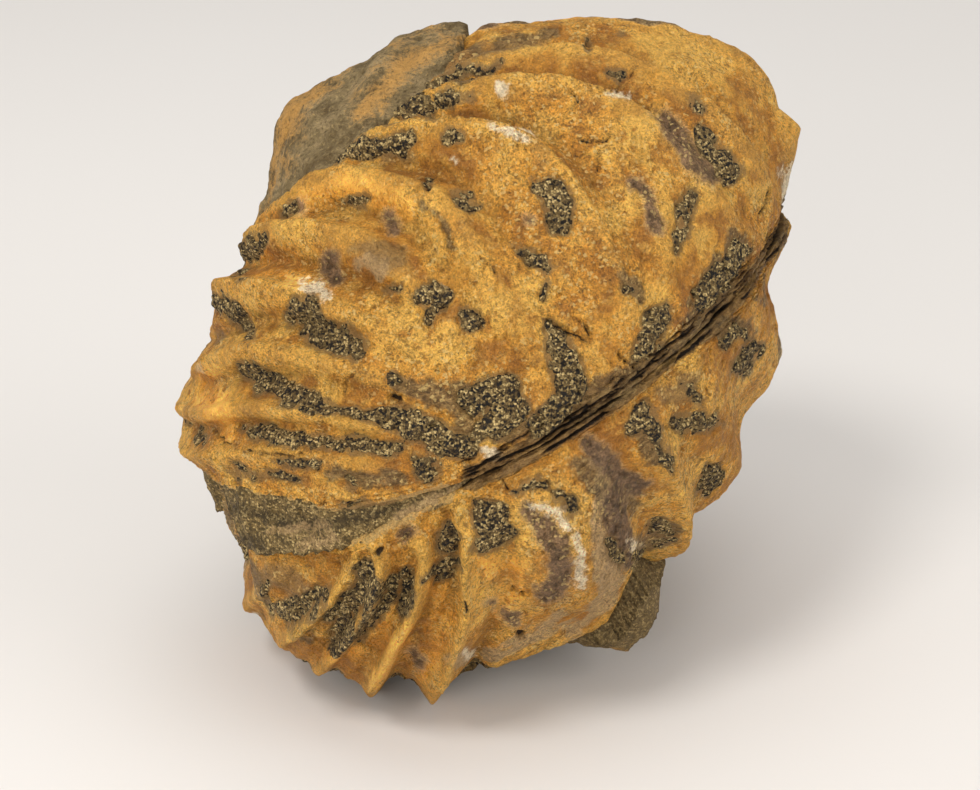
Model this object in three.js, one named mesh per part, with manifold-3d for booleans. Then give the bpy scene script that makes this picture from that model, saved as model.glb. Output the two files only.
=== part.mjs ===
// A fossil bivalve: two ribbed shell valves, still closed on each other, over a fill of grey sandstone.
// The sandstone shows where the valves gape at the left end, behind the upper valve's broken edge, and
// below, where it is the foot that the fossil rests on.
//
// Millimetres, +Z up, z = 0 is the surface it rests on. The front is -Y, where the seam between the
// valves climbs to the right. Every surface is a height above a point inside the shell, so a place on
// the fossil is given by two angles in whole degrees:
//   turn  round the shell in the plane of the seam, 0 at the front, 90 at the right end, 180 behind
//   rise  above that plane towards the crown of the upper valve, negative on the lower valve
import * as THREE from 'three';
import { mergeVertices } from 'three/addons/utils/BufferGeometryUtils.js';
import Module from 'manifold-3d';

// ---------------------------------------------------------------- driving dimensions
const CENTRE = new THREE.Vector3(0.37, 0.53, 39.6); // the point inside the shell that radii start from
const BODY = { long: 47, short: 36.5, deep: 42, lean: -25, roll: -50 }; // half lengths and rotation
const SEAM = { lean: -25, roll: -26, tip: 19 }; // rotation of the plane where the valves meet
const SHELL_THICKNESS = 4.2; // from the smooth body inwards
const SEAT_GAP = 0.45; // between the sandstone and the inside of a valve
const SEAT_ANGLE = 0.7; // degrees between the sandstone and a valve's edge
const CHORD_ERROR = 0.4; // how far a facet of a ribbed surface may lie off the true surface
const SMOOTH_ERROR = 0.4; // the same for a smooth surface
const HIDDEN_ERROR = 8; // the same where a surface is cut away later
const EDGE_MARGIN = 12; // degrees past the seam that belong to no cut-away surface

const UPPER_LEVEL = -1.6; // ground of the upper valve's ribs, from the smooth body
const LOWER_LEVEL = -1.6;
const UPPER_RELIEF = 1.3; // scales the heights of the upper valve's ribs
const LOWER_RELIEF = 1.0;
const ROCK_LEVEL = -1.8;
const SEAM_CHANNEL = { depth: 6, width: 5, middle: 70, half: 90, fade: 18 }; // no sandstone there

// Broad swells and hollows of the whole body: [turn, rise, height, spread in degrees].
const BODY_SWELLS = [
  [70, -24, -4.5, 22], // flattened right flank
  [80, -35, 1, 8],
  [93, 22, 3.4, 15], // right shoulder
  [110, 68, 0.6, 12],
  [-70, -30, 2, 14], // beak end of the lower valve
  [-78, -6, -4.8, 9], // hollow where the valves gape
  [-92, -4, -1.5, 6],
  [-93, 17, 1.8, 8], // rounded left end
  [-26, -17, 0.9, 8], // ground of the thin ribs at the lower left
  [-38, -27, 1.4, 8],
  [-54, -38, 2, 9],
  [-72, -24, 1, 9],
  [-92, 32, -2, 14],
  [-108, 58, -4, 11], // notch below the rear sandstone
  [-150, 74, 4, 18], // rear sandstone
  [-40, -54, 1, 9],
  [-100, -50, -3, 13], // hollow under the beak end
];

// Swells of the sandstone alone.
const ROCK_SWELLS = [
  [4, -68, 7.6, 7.5], // lump that shows below the right end
  [-150, -68, 6, 14], // foot
  [150, 76, 2.3, 12], // top of the rear sandstone
  [118, 70, 1, 7],
  [170, 75, -1.5, 7],
  [-160, 60, 3.1, 16],
  [-120, 62, 1.6, 10],
  [-72, 62, -1, 6],
  [-136, 47, 0.8, 8], // uneven rear face
  [-158, 38, -1.8, 8],
  [-128, 8, 2, 9],
  [-150, -8, -1.8, 9],
  [-172, 2, 2, 10],
  [-130, -32, 1.8, 9],
  [-168, -38, 1.6, 10],
  [-148, -50, -1.4, 8],
  [-112, -62, 1.4, 8],
];

// A rib is a ridge line of [turn, rise, height] stations. Seen from outside, walking along the line,
// the right-hand flank falls over `steep` degrees and the left-hand flank over `gentle` degrees.
const UPPER_RIBS = [
  { steep: 5, gentle: 10, line: [[166, 12, 0.9], [168, 24, 1.9], [165, 38, 2.1], [155, 50, 1.5]] },
  { steep: 5, gentle: 11, line: [[150, 4, 0.9], [150, 20, 2], [146, 35, 2.3], [136, 50, 1.6]] },
  {
    steep: 5, gentle: 11,
    line: [[133, 3, 0.9], [133, 18, 2], [130, 34, 2.4], [122, 50, 1.9], [105, 64, 1]],
  },
  {
    steep: 5, gentle: 11,
    line: [[114, 3, 0.9], [114, 16, 2], [112, 32, 2.3], [108, 48, 1.6], [95, 64, 0.8]],
  },
  {
    steep: 3.2, gentle: 12,
    line: [[92, 3, 1.4], [90, 7, 1.9], [88, 11, 3.6], [89, 15, 2.4], [90, 21, 2.9], [90, 31, 2.2],
      [90, 52, 1.6], [84, 64, 1], [60, 76, 0.6]],
  },
  {
    steep: 3, gentle: 11,
    line: [[78, 3, 0.5], [72, 14, 1], [69, 24, 1.4], [69, 36, 1.6], [69, 47, 1.8], [66, 57, 1.8],
      [58, 65, 1.7], [40, 71, 1.4]],
  },
  {
    steep: 2.8, gentle: 11,
    line: [[65, 3, 0.3], [59, 9, 0.6], [55, 18, 0.9], [54, 28, 1.2], [54, 37, 1.6], [52, 46, 2],
      [46, 54, 2.3], [39, 60, 2.4], [30, 66, 2.2], [12, 69, 1.5]],
  },
  {
    steep: 2.8, gentle: 12,
    line: [[25, 6, 0], [27, 14, 0.3], [28, 22, 0.6], [30, 32, 0.9], [31, 42, 1.4], [28, 50, 2],
      [21, 57, 2.2], [8, 64, 2.2], [-8, 67, 2], [-24, 66, 1.2]],
  },
  {
    steep: 3, gentle: 12,
    line: [[7, 8, 0], [7, 20, 0.4], [7, 34, 0.9], [7, 43, 1.3], [3, 49, 1.8], [-7, 56, 2.2],
      [-19, 61, 2.4], [-33, 62, 2.4], [-50, 60, 2], [-70, 58, 1.5]],
  },
  {
    steep: 3.2, gentle: 12,
    line: [[-4, 4, 0], [-4, 14, 0.4], [-6, 27, 0.8], [-9, 38, 1.3], [-16, 46, 1.8], [-28, 51, 2.2],
      [-42, 54, 2.4], [-59, 55, 2], [-76, 53, 1.5], [-98, 50, 1.2]],
  },
  {
    steep: 3.2, gentle: 11,
    line: [[-9, 6, 0.2], [-10, 14, 0.6], [-13, 23, 1], [-20, 32, 1.5], [-30, 38, 2], [-46, 43, 2.6],
      [-64, 44, 2.4], [-80, 43, 2.1], [-96, 38, 2], [-108, 32, 1.2]],
  },
  {
    steep: 3, gentle: 9,
    line: [[-12, 6, 0.3], [-15, 14, 0.7], [-22, 23, 1.2], [-34, 29, 1.8], [-50, 32, 2.2],
      [-70, 29, 2], [-90, 24, 1.2], [-106, 19, 0.6]],
  },
  {
    steep: 3, gentle: 7,
    line: [[-15, 5, 0.3], [-22, 13, 0.8], [-34, 19, 1.3], [-50, 22, 1.6], [-70, 20, 2.2],
      [-90, 17, 1.4], [-104, 13, 0.6]],
  },
  {
    steep: 2.5, gentle: 6,
    line: [[-19, 4, 0.2], [-30, 10, 0.7], [-44, 14, 1.1], [-60, 14, 1.6], [-80, 11, 1.8],
      [-90, 10, 1.2], [-102, 8, 0.6]],
  },
];

// The lower valve's ribs: thin ridges that end in spikes at the left, broad knobs at the right.
const LOWER_RIBS = [
  {
    steep: 4, gentle: 6,
    line: [[-44, -4, 0.4], [-56, -9, 0.8], [-70, -14, 1.1], [-83, -19, 1.9], [-98, -22, 0.8]],
  },
  {
    steep: 4, gentle: 3,
    line: [[-36, -5, 0.4], [-38, -9, 1], [-41, -11, 1.6], [-46, -13, 2], [-52, -16, 1.9],
      [-60, -19, 1.4], [-72, -24, 0.7], [-84, -28, 0.4]],
  },
  {
    steep: 4, gentle: 3,
    line: [[-33, -2, 0.6], [-31, -5, 1.2], [-31, -8, 1.8], [-34, -11, 2], [-38, -15, 2],
      [-44, -19, 1.8], [-51, -23, 1.6], [-62, -28, 1], [-74, -33, 0.5]],
  },
  {
    steep: 4, gentle: 3,
    line: [[-26, -3, 0.6], [-24, -7, 1.2], [-25, -11, 1.8], [-28, -15, 1.8], [-32, -19, 1.7],
      [-39, -24, 1.6], [-46, -29, 1.6], [-60, -37, 1.9], [-68, -41, 1.7]],
  },
  {
    steep: 4, gentle: 3.5,
    line: [[-17, -4, 0.6], [-16, -8, 1], [-18, -12, 1.5], [-20, -15, 1.8], [-22, -20, 1.9],
      [-26, -25, 2], [-32, -31, 2.2], [-42, -38, 2.8], [-52, -44.5, 3], [-59, -48, 1.8]],
  },
  {
    steep: 10, gentle: 8,
    line: [[1, -3, 0.2], [0, -10, 0.8], [-1, -20, 1.8], [-2, -30, 2.6], [-3, -42, 2], [-6, -52, 1]],
  },
  {
    steep: 5, gentle: 5,
    line: [[16, -3, 0.4], [20, -7, 1.2], [21, -13, 2], [22, -19, 2.6], [24, -27, 2.6], [29, -43, 2.4],
      [36, -58, 2.8], [42, -66, 2]],
  },
  {
    steep: 12, gentle: 9,
    line: [[28, -3, 0.2], [36, -14, 1.4], [43, -25, 2.2], [52, -37, 3.2], [64, -46, 3.8], [78, -52, 3]],
  },
  {
    steep: 11, gentle: 10,
    line: [[42, -2, 0.2], [50, -8, 1.4], [60, -13, 2.4], [71, -20, 3.6], [81, -26, 4.2], [94, -31, 3]],
  },
  {
    steep: 5, gentle: 7,
    line: [[66, -1, 0.2], [78, -2, 1.6], [90, -4, 3], [104, -8, 2.6], [120, -16, 1.6]],
  },
  {
    steep: 6, gentle: 8,
    line: [[92, -10, 0.3], [102, -18, 1.4], [110, -30, 2.2], [112, -44, 2], [106, -56, 1]],
  },
  { steep: 6, gentle: 8, line: [[112, -4, 0.6], [124, -10, 1.8], [134, -20, 2.6], [136, -34, 2]] },
  { steep: 6, gentle: 8, line: [[136, -6, 0.6], [148, -14, 1.8], [156, -26, 2.4], [152, -40, 1.8]] },
];

// Each valve covers a patch of the body: a point well inside it, and its edge as [turn, rise] stations
// that run anticlockwise, seen from outside.
const UPPER_PATCH = {
  middle: [35, 5],
  edge: [
    [-84, 7], [-62, 8], [-52, 7], [-44, 5], [-35, 2], [-24, 1], [-12, 0], [0, 0], [24, 1], [50, 1], [80, 0],
    [105, 0], [130, 1], [150, 2], [167, 7], [176, 18], [176, 32], [164, 46], [142, 57], [112, 67], [56, 73],
    [19, 73], [-10, 71], [-30, 67], [-48, 62], [-68, 57], [-88, 50], [-103, 41], [-111, 30], [-111, 20],
    [-100, 10],
  ],
};
const LOWER_PATCH = {
  middle: [25, -10],
  edge: [
    [-99, -7], [-108, -14], [-106, -24], [-96, -32], [-82, -38], [-70, -43], [-60, -49], [-45, -54],
    [-28, -57], [-12, -54], [0, -55], [12, -58], [30, -66], [64, -67], [110, -62], [148, -52],
    [168, -38], [172, -24], [166, -12], [150, -5], [130, -3], [105, -2], [80, -2], [50, -1], [24, -1],
    [0, -2], [-12, -2.5], [-24, -3], [-35, -4], [-48, -3], [-62, -3], [-84, -4],
  ],
};

// ---------------------------------------------------------------- directions and radii
const rad = THREE.MathUtils.degToRad;

function axes({ lean, roll, tip = 0 }) {
  const turned = new THREE.Matrix4().makeRotationX(rad(lean));
  turned.multiply(new THREE.Matrix4().makeRotationY(rad(roll)));
  turned.multiply(new THREE.Matrix4().makeRotationX(rad(tip)));
  const [right, back, up] = [new THREE.Vector3(), new THREE.Vector3(), new THREE.Vector3()];
  turned.extractBasis(right, back, up);
  return { right, back, up };
}

const seam = axes(SEAM);
const body = axes(BODY);

function direction(turn, rise) {
  const flat = Math.cos(rad(rise));
  return new THREE.Vector3()
    .addScaledVector(seam.right, flat * Math.sin(rad(turn)))
    .addScaledVector(seam.back, -flat * Math.cos(rad(turn)))
    .addScaledVector(seam.up, Math.sin(rad(rise)));
}

const bell = (x) => Math.exp(-x * x);

function swellHeight(swells, dir) {
  let sum = 0;
  for (const { peak, height, spread } of swells) {
    sum += height * bell(dir.angleTo(peak) / rad(spread) / Math.SQRT2);
  }
  return sum;
}

const readSwells = (rows) =>
  rows.map(([turn, rise, height, spread]) => ({ peak: direction(turn, rise), height, spread }));
const bodySwells = readSwells(BODY_SWELLS);
const rockSwells = readSwells(ROCK_SWELLS);

function bodyRadius(dir) {
  const along = dir.dot(body.right) / BODY.long;
  const across = dir.dot(body.up) / BODY.short;
  const deep = dir.dot(body.back) / BODY.deep;
  return 1 / Math.hypot(along, across, deep) + swellHeight(bodySwells, dir);
}

// ---------------------------------------------------------------- ribs
const RIB_STEPS = 40; // straight pieces along a rib's ridge line
const RIB_BLEND = 3; // how sharply neighbouring ribs meet in a furrow
const FLANK_BLEND = 0.6; // how soon one flank's spread gives way to the other's around a ridge's end

function ribPath({ steep, gentle, line }) {
  const places = new THREE.CatmullRomCurve3(line.map(([turn, rise]) => direction(turn, rise)));
  const heights = new THREE.CatmullRomCurve3(line.map(([, , height]) => new THREE.Vector3(height, 0, 0)));
  const points = [];
  for (let i = 0; i <= RIB_STEPS; i += 1) {
    const place = places.getPoint(i / RIB_STEPS).normalize();
    points.push({ place, height: Math.max(0, heights.getPoint(i / RIB_STEPS).x) });
  }
  return { steep, gentle, points };
}

const ridge = new THREE.Line3();
const foot = new THREE.Vector3();
const away = new THREE.Vector3();
const step = new THREE.Vector3();

function ribHeight({ steep, gentle, points }, dir) {
  let nearest = Infinity;
  let height = 0;
  let side = 0;
  for (let i = 1; i < points.length; i += 1) {
    const [a, b] = [points[i - 1], points[i]];
    ridge.set(a.place, b.place);
    const t = ridge.closestPointToPointParameter(dir, true);
    ridge.at(t, foot);
    const gap = foot.distanceTo(dir);
    if (gap >= nearest) continue;
    nearest = gap;
    height = a.height + t * (b.height - a.height);
    away.subVectors(dir, foot).normalize();
    side = step.subVectors(b.place, a.place).normalize().cross(away).dot(dir);
  }
  const left = THREE.MathUtils.clamp(0.5 + FLANK_BLEND * side, 0, 1);
  return height * bell(nearest / rad(steep + (gentle - steep) * left));
}

function ribbed(ribs, dir) {
  let sum = 0;
  for (const rib of ribs) sum += ribHeight(rib, dir) ** RIB_BLEND;
  return sum ** (1 / RIB_BLEND);
}

const upperRibs = UPPER_RIBS.map(ribPath);
const lowerRibs = LOWER_RIBS.map(ribPath);

// ---------------------------------------------------------------- surfaces
const upperRadius = (dir) => bodyRadius(dir) + UPPER_LEVEL + UPPER_RELIEF * ribbed(upperRibs, dir);
const lowerRadius = (dir) => bodyRadius(dir) + LOWER_LEVEL + LOWER_RELIEF * ribbed(lowerRibs, dir);
const innerRadius = (dir) => bodyRadius(dir) - SHELL_THICKNESS;

function rockRadius(dir) {
  const rise = THREE.MathUtils.radToDeg(Math.asin(dir.dot(seam.up)));
  const turn = THREE.MathUtils.radToDeg(Math.atan2(dir.dot(seam.right), -dir.dot(seam.back)));
  const { depth, width, middle, half, fade } = SEAM_CHANNEL;
  const along = THREE.MathUtils.smoothstep(half - Math.abs(turn - middle), 0, fade);
  const channel = depth * bell(rise / width) * along;
  return bodyRadius(dir) + ROCK_LEVEL + swellHeight(rockSwells, dir) - channel;
}

// ---------------------------------------------------------------- solids round the centre
// A globe is a closed surface at radius(direction) round the centre. It starts as an octahedron. An edge
// whose middle lies further than `error` from the true surface is split there, and so is the longest
// edge of every triangle that it touches, until every edge is close enough. `sink` then lowers all of it.
const MAX_ROUNDS = 12;

const wasm = await Module();
wasm.setup();

function bareGeometry(geometry) {
  return mergeVertices(geometry.deleteAttribute('normal').deleteAttribute('uv'));
}

function toSolid(geometry) {
  const bare = bareGeometry(geometry);
  const vertProperties = new Float32Array(bare.getAttribute('position').array);
  const triVerts = new Uint32Array(bare.getIndex().array);
  return new wasm.Manifold(new wasm.Mesh({ numProp: 3, vertProperties, triVerts }));
}

function meshToSolid(places, triangles) {
  const geometry = new THREE.BufferGeometry();
  const positions = places.flatMap((place) => place.clone().add(CENTRE).toArray());
  geometry.setAttribute('position', new THREE.Float32BufferAttribute(positions, 3));
  geometry.setIndex(triangles.flat());
  return toSolid(geometry);
}

const sidesOf = ([a, b, c]) => [[a, b], [b, c], [c, a]];
const edgeKey = ([a, b]) => (a < b ? `${a} ${b}` : `${b} ${a}`);

function globe(radius, error, sink = 0) {
  const start = bareGeometry(new THREE.OctahedronGeometry(1, 2));
  const places = [];
  const put = (dir) => places.push(dir.multiplyScalar(radius(dir)));
  const positions = start.getAttribute('position');
  for (let i = 0; i < positions.count; i += 1) {
    put(new THREE.Vector3().fromBufferAttribute(positions, i).normalize());
  }
  const order = start.getIndex().array;
  let faces = [];
  for (let i = 0; i < order.length; i += 3) faces.push([order[i], order[i + 1], order[i + 2]]);

  const length = ([a, b]) => places[a].distanceTo(places[b]);
  const longer = (best, side) => (length(side) > length(best) ? side : best);
  const middleDirection = ([a, b]) => {
    const sum = places[a].clone().normalize().add(places[b].clone().normalize());
    return sum.normalize();
  };
  const isLoose = ([a, b]) => {
    const dir = middleDirection([a, b]);
    const chord = places[a].clone().add(places[b]).multiplyScalar(0.5);
    return chord.distanceTo(dir.clone().multiplyScalar(radius(dir))) > error(dir);
  };
  for (let round = 0; round < MAX_ROUNDS; round += 1) {
    const middles = new Map();
    const mark = (side) => {
      middles.set(edgeKey(side), places.length);
      put(middleDirection(side));
    };
    const tested = new Set();
    for (const side of faces.flatMap(sidesOf)) {
      if (tested.has(edgeKey(side))) continue;
      tested.add(edgeKey(side));
      if (isLoose(side)) mark(side);
    }
    if (middles.size === 0) break;
    const isMarked = (side) => middles.has(edgeKey(side));
    for (let before = 0; before < middles.size;) {
      before = middles.size;
      for (const face of faces) {
        const sides = sidesOf(face);
        const longest = sides.reduce(longer);
        if (sides.some(isMarked) && !isMarked(longest)) mark(longest);
      }
    }
    const split = (face) => {
      const marked = sidesOf(face).filter(isMarked);
      if (marked.length === 0) return [face];
      const [a, b] = marked.reduce(longer);
      const opposite = face.find((corner) => corner !== a && corner !== b);
      const middle = middles.get(edgeKey([a, b]));
      return [...split([a, middle, opposite]), ...split([middle, b, opposite])];
    };
    faces = faces.flatMap(split);
  }
  return meshToSolid(places.map((place) => place.clone().setLength(place.length() - sink)), faces);
}

// A wedge is everything seen from the centre through a patch, out to a radius past every surface. Its
// outer end is the patch mapped to a disc round the patch's middle.
const WEDGE_RADIUS = 110;
const WEDGE_RINGS = 4;
const EDGE_STEPS = 90;

function wedge({ middle, edge }, spareDegrees = 0) {
  const pole = direction(...middle);
  const east = new THREE.Vector3().crossVectors(seam.up, pole).normalize();
  const north = new THREE.Vector3().crossVectors(pole, east);
  const curve = new THREE.CatmullRomCurve3(edge.map(([turn, rise]) => direction(turn, rise)), true);
  const rim = [];
  for (let i = 0; i < EDGE_STEPS; i += 1) {
    const dir = curve.getPoint(i / EDGE_STEPS).normalize();
    const outward = curve.getTangent(i / EDGE_STEPS).cross(dir).normalize();
    dir.addScaledVector(outward, rad(spareDegrees)).normalize();
    rim.push({ bearing: Math.atan2(dir.dot(north), dir.dot(east)), reach: dir.angleTo(pole) });
  }
  rim.sort((a, b) => a.bearing - b.bearing);
  const places = [new THREE.Vector3(), pole.clone().multiplyScalar(WEDGE_RADIUS)];
  for (let ring = 1; ring <= WEDGE_RINGS; ring += 1) {
    for (const { bearing, reach } of rim) {
      const angle = (reach * ring) / WEDGE_RINGS;
      const place = pole.clone().multiplyScalar(Math.cos(angle))
        .addScaledVector(east, Math.sin(angle) * Math.cos(bearing))
        .addScaledVector(north, Math.sin(angle) * Math.sin(bearing));
      places.push(place.multiplyScalar(WEDGE_RADIUS));
    }
  }
  const at = (ring, i) => (ring === 0 ? 1 : 2 + (ring - 1) * EDGE_STEPS + (i % EDGE_STEPS));
  const triangles = [];
  for (let i = 0; i < EDGE_STEPS; i += 1) {
    triangles.push([1, at(1, i), at(1, i + 1)]);
    for (let ring = 1; ring < WEDGE_RINGS; ring += 1) {
      triangles.push([at(ring, i), at(ring + 1, i), at(ring + 1, i + 1)]);
      triangles.push([at(ring, i), at(ring + 1, i + 1), at(ring, i + 1)]);
    }
    triangles.push([0, at(WEDGE_RINGS, i + 1), at(WEDGE_RINGS, i)]);
  }
  return meshToSolid(places, triangles);
}

// ---------------------------------------------------------------- the three pieces
function valve(patch, outer, side) {
  const isOnValve = (dir) => side * dir.dot(seam.up) > -Math.sin(rad(EDGE_MARGIN));
  const outside = globe(outer, (dir) => (isOnValve(dir) ? CHORD_ERROR : HIDDEN_ERROR));
  const inside = globe(innerRadius, () => SMOOTH_ERROR);
  return outside.subtract(inside).intersect(wedge(patch));
}

function rock() {
  const core = globe(innerRadius, () => SMOOTH_ERROR, SEAT_GAP);
  const upperSeat = wedge(UPPER_PATCH, SEAT_ANGLE).subtract(core);
  const lowerSeat = wedge(LOWER_PATCH, SEAT_ANGLE).subtract(core);
  const ground = new THREE.BoxGeometry(2 * WEDGE_RADIUS, 2 * WEDGE_RADIUS, WEDGE_RADIUS);
  ground.translate(0, 0, -WEDGE_RADIUS / 2);
  return globe(rockRadius, () => SMOOTH_ERROR)
    .subtract(upperSeat)
    .subtract(lowerSeat)
    .subtract(toSolid(ground));
}

function piece(name, solid, material) {
  const mesh = solid.getMesh();
  const geometry = new THREE.BufferGeometry();
  geometry.setAttribute('position', new THREE.BufferAttribute(new Float32Array(mesh.vertProperties), 3));
  geometry.setIndex(new THREE.BufferAttribute(new Uint32Array(mesh.triVerts), 1));
  const result = new THREE.Mesh(geometry, material);
  result.name = name;
  return result;
}

const shellMaterial = new THREE.MeshStandardMaterial({ color: 0xb57a34, roughness: 0.62, metalness: 0 });
const rockMaterial = new THREE.MeshStandardMaterial({ color: 0x6d6653, roughness: 0.95, metalness: 0 });

const fossil = new THREE.Group();
fossil.add(piece('upper_valve', valve(UPPER_PATCH, upperRadius, 1), shellMaterial));
fossil.add(piece('lower_valve', valve(LOWER_PATCH, lowerRadius, -1), shellMaterial.clone()));
fossil.add(piece('rock_matrix', rock(), rockMaterial));

export default fossil;
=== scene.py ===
"""A fossil bivalve: two ribbed valves closed on a fill of grey sandstone, with sand stuck in the furrows.

Lengths are in millimetres until a mesh is made, and places are measured from CENTRE, the point inside the
shell. A place on the fossil is given by two angles in degrees:
  turn  round the shell in the plane of the seam, 0 at the front, 90 at the right end, 180 behind
  rise  above that plane towards the crown of the upper valve, negative on the lower valve
"""

import bpy
import numpy as np
from mathutils import Matrix, Vector


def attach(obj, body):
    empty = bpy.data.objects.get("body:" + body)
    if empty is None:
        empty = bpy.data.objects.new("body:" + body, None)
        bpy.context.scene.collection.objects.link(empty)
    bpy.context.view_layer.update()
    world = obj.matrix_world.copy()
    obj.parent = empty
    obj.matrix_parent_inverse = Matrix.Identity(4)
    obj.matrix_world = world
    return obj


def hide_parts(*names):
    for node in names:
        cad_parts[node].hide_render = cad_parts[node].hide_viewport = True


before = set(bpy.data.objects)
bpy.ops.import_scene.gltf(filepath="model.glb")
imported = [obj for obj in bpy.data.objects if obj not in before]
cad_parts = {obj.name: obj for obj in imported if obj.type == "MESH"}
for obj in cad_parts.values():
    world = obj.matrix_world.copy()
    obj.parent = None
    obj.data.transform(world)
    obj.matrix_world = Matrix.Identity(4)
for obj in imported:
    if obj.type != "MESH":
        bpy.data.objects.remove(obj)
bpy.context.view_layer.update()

DETAIL = 1.0  # share of the full number of rows and columns in each mesh
METRES = 0.001

# ---------------------------------------------------------------- form
# These are the CAD model's numbers, with a few changes. The swell at [-93, 17] is 0.5 mm higher, the left
# ends of four upper ribs are lower, and the lower valve reaches further down at the front, with one more rib.
CENTRE = np.array([0.37, 0.53, 39.6])
BODY_LONG, BODY_DEEP, BODY_SHORT = 47.0, 42.0, 36.5  # half lengths
BODY_LEAN, BODY_ROLL = -25, -50
SEAM_LEAN, SEAM_ROLL, SEAM_TIP = -25, -26, 19
SHELL_THICKNESS = 4.2
UPPER_LEVEL = -1.6
LOWER_LEVEL = -1.6
UPPER_RELIEF = 1.3
LOWER_RELIEF = 1.0
ROCK_LEVEL = -1.8
CHANNEL_DEPTH, CHANNEL_WIDTH = 6.0, 5.0  # of the hollow in the sandstone behind the seam
CHANNEL_MIDDLE, CHANNEL_HALF, CHANNEL_FADE = 70.0, 90.0, 18.0

# Broad swells and hollows: [turn, rise, height, spread in degrees].
BODY_SWELLS = [
    [70, -24, -4.5, 22], [93, 22, 3.4, 15], [110, 68, 0.6, 12], [-70, -30, 2, 14], [-78, -6, -4.8, 9],
    [-92, 32, -2, 14], [-108, 58, -4, 11], [-150, 74, 4, 18], [-40, -54, 1, 9], [-100, -50, -3, 13],
    [80, -35, 1, 8], [-92, -4, -1.5, 6], [-93, 17, 2.3, 8], [-26, -17, 0.9, 8], [-38, -27, 1.4, 8],
    [-54, -38, 2, 9], [-72, -24, 1, 9],
]
ROCK_SWELLS = [
    [4, -68, 7.6, 7.5], [-150, -68, 6, 14], [118, 70, 1, 7], [170, 75, -1.5, 7], [-72, 62, -1, 6],
    [150, 76, 2.3, 12], [-160, 60, 3.1, 16], [-120, 62, 1.6, 10],
    [-136, 47, 0.8, 8], [-158, 38, -1.8, 8], [-128, 8, 2, 9], [-150, -8, -1.8, 9], [-172, 2, 2, 10],
    [-130, -32, 1.8, 9], [-168, -38, 1.6, 10], [-148, -50, -1.4, 8], [-112, -62, 1.4, 8],
]

# A rib is a ridge line of [turn, rise, height] stations, and the spreads of its right-hand and left-hand
# flanks in degrees, walking along the line and seen from outside.
UPPER_RIBS = [
    (5, 10, [[166, 12, 0.9], [168, 24, 1.9], [165, 38, 2.1], [155, 50, 1.5]]),
    (5, 11, [[150, 4, 0.9], [150, 20, 2], [146, 35, 2.3], [136, 50, 1.6]]),
    (5, 11, [[133, 3, 0.9], [133, 18, 2], [130, 34, 2.4], [122, 50, 1.9], [105, 64, 1]]),
    (5, 11, [[114, 3, 0.9], [114, 16, 2], [112, 32, 2.3], [108, 48, 1.6], [95, 64, 0.8]]),
    (3.2, 12, [[92, 3, 1.4], [90, 7, 1.9], [88, 11, 3.6], [89, 15, 2.4], [90, 21, 2.9], [90, 31, 2.2],
               [90, 52, 1.6], [84, 64, 1], [60, 76, 0.6]]),
    (3, 11, [[78, 3, 0.5], [72, 14, 1], [69, 24, 1.4], [69, 36, 1.6], [69, 47, 1.8], [66, 57, 1.8],
             [58, 65, 1.7], [40, 71, 1.4]]),
    (2.8, 11, [[65, 3, 0.3], [59, 9, 0.6], [55, 18, 0.9], [54, 28, 1.2], [54, 37, 1.6], [52, 46, 2],
               [46, 54, 2.3], [39, 60, 2.4], [30, 66, 2.2], [12, 69, 1.5]]),
    (2.8, 12, [[25, 6, 0], [27, 14, 0.3], [28, 22, 0.6], [30, 32, 0.9], [31, 42, 1.4], [28, 50, 2],
               [21, 57, 2.2], [8, 64, 2.2], [-8, 67, 2], [-24, 66, 1.2]]),
    (3, 12, [[7, 8, 0], [7, 20, 0.4], [7, 34, 0.9], [7, 43, 1.3], [3, 49, 1.8], [-7, 56, 2.2], [-19, 61, 2.4],
             [-33, 62, 2.4], [-50, 60, 2], [-70, 58, 1.5]]),
    (3.2, 12, [[-4, 4, 0], [-4, 14, 0.4], [-6, 27, 0.8], [-9, 38, 1.3], [-16, 46, 1.8], [-28, 51, 2.2],
               [-42, 54, 2.4], [-59, 55, 2], [-76, 53, 1.5], [-98, 50, 1.2]]),
    (3.2, 11, [[-9, 6, 0.2], [-10, 14, 0.6], [-13, 23, 1], [-20, 32, 1.5], [-30, 38, 2], [-46, 43, 2.6],
               [-64, 44, 2.4], [-80, 43, 2], [-96, 38, 1.7], [-108, 32, 1]]),
    (3, 9, [[-12, 6, 0.3], [-15, 14, 0.7], [-22, 23, 1.2], [-34, 29, 1.8], [-50, 32, 2.1], [-70, 29, 1.5],
            [-90, 24, 0.7], [-106, 19, 0.3]]),
    (3, 7, [[-15, 5, 0.3], [-22, 13, 0.8], [-34, 19, 1.3], [-50, 22, 1.6], [-70, 20, 1.6], [-90, 17, 0.8],
            [-104, 13, 0.3]]),
    (2.5, 6, [[-19, 4, 0.2], [-30, 10, 0.7], [-44, 14, 1.1], [-60, 14, 1.5], [-80, 11, 1.3], [-90, 10, 0.8],
              [-102, 8, 0.4]]),
]
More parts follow.
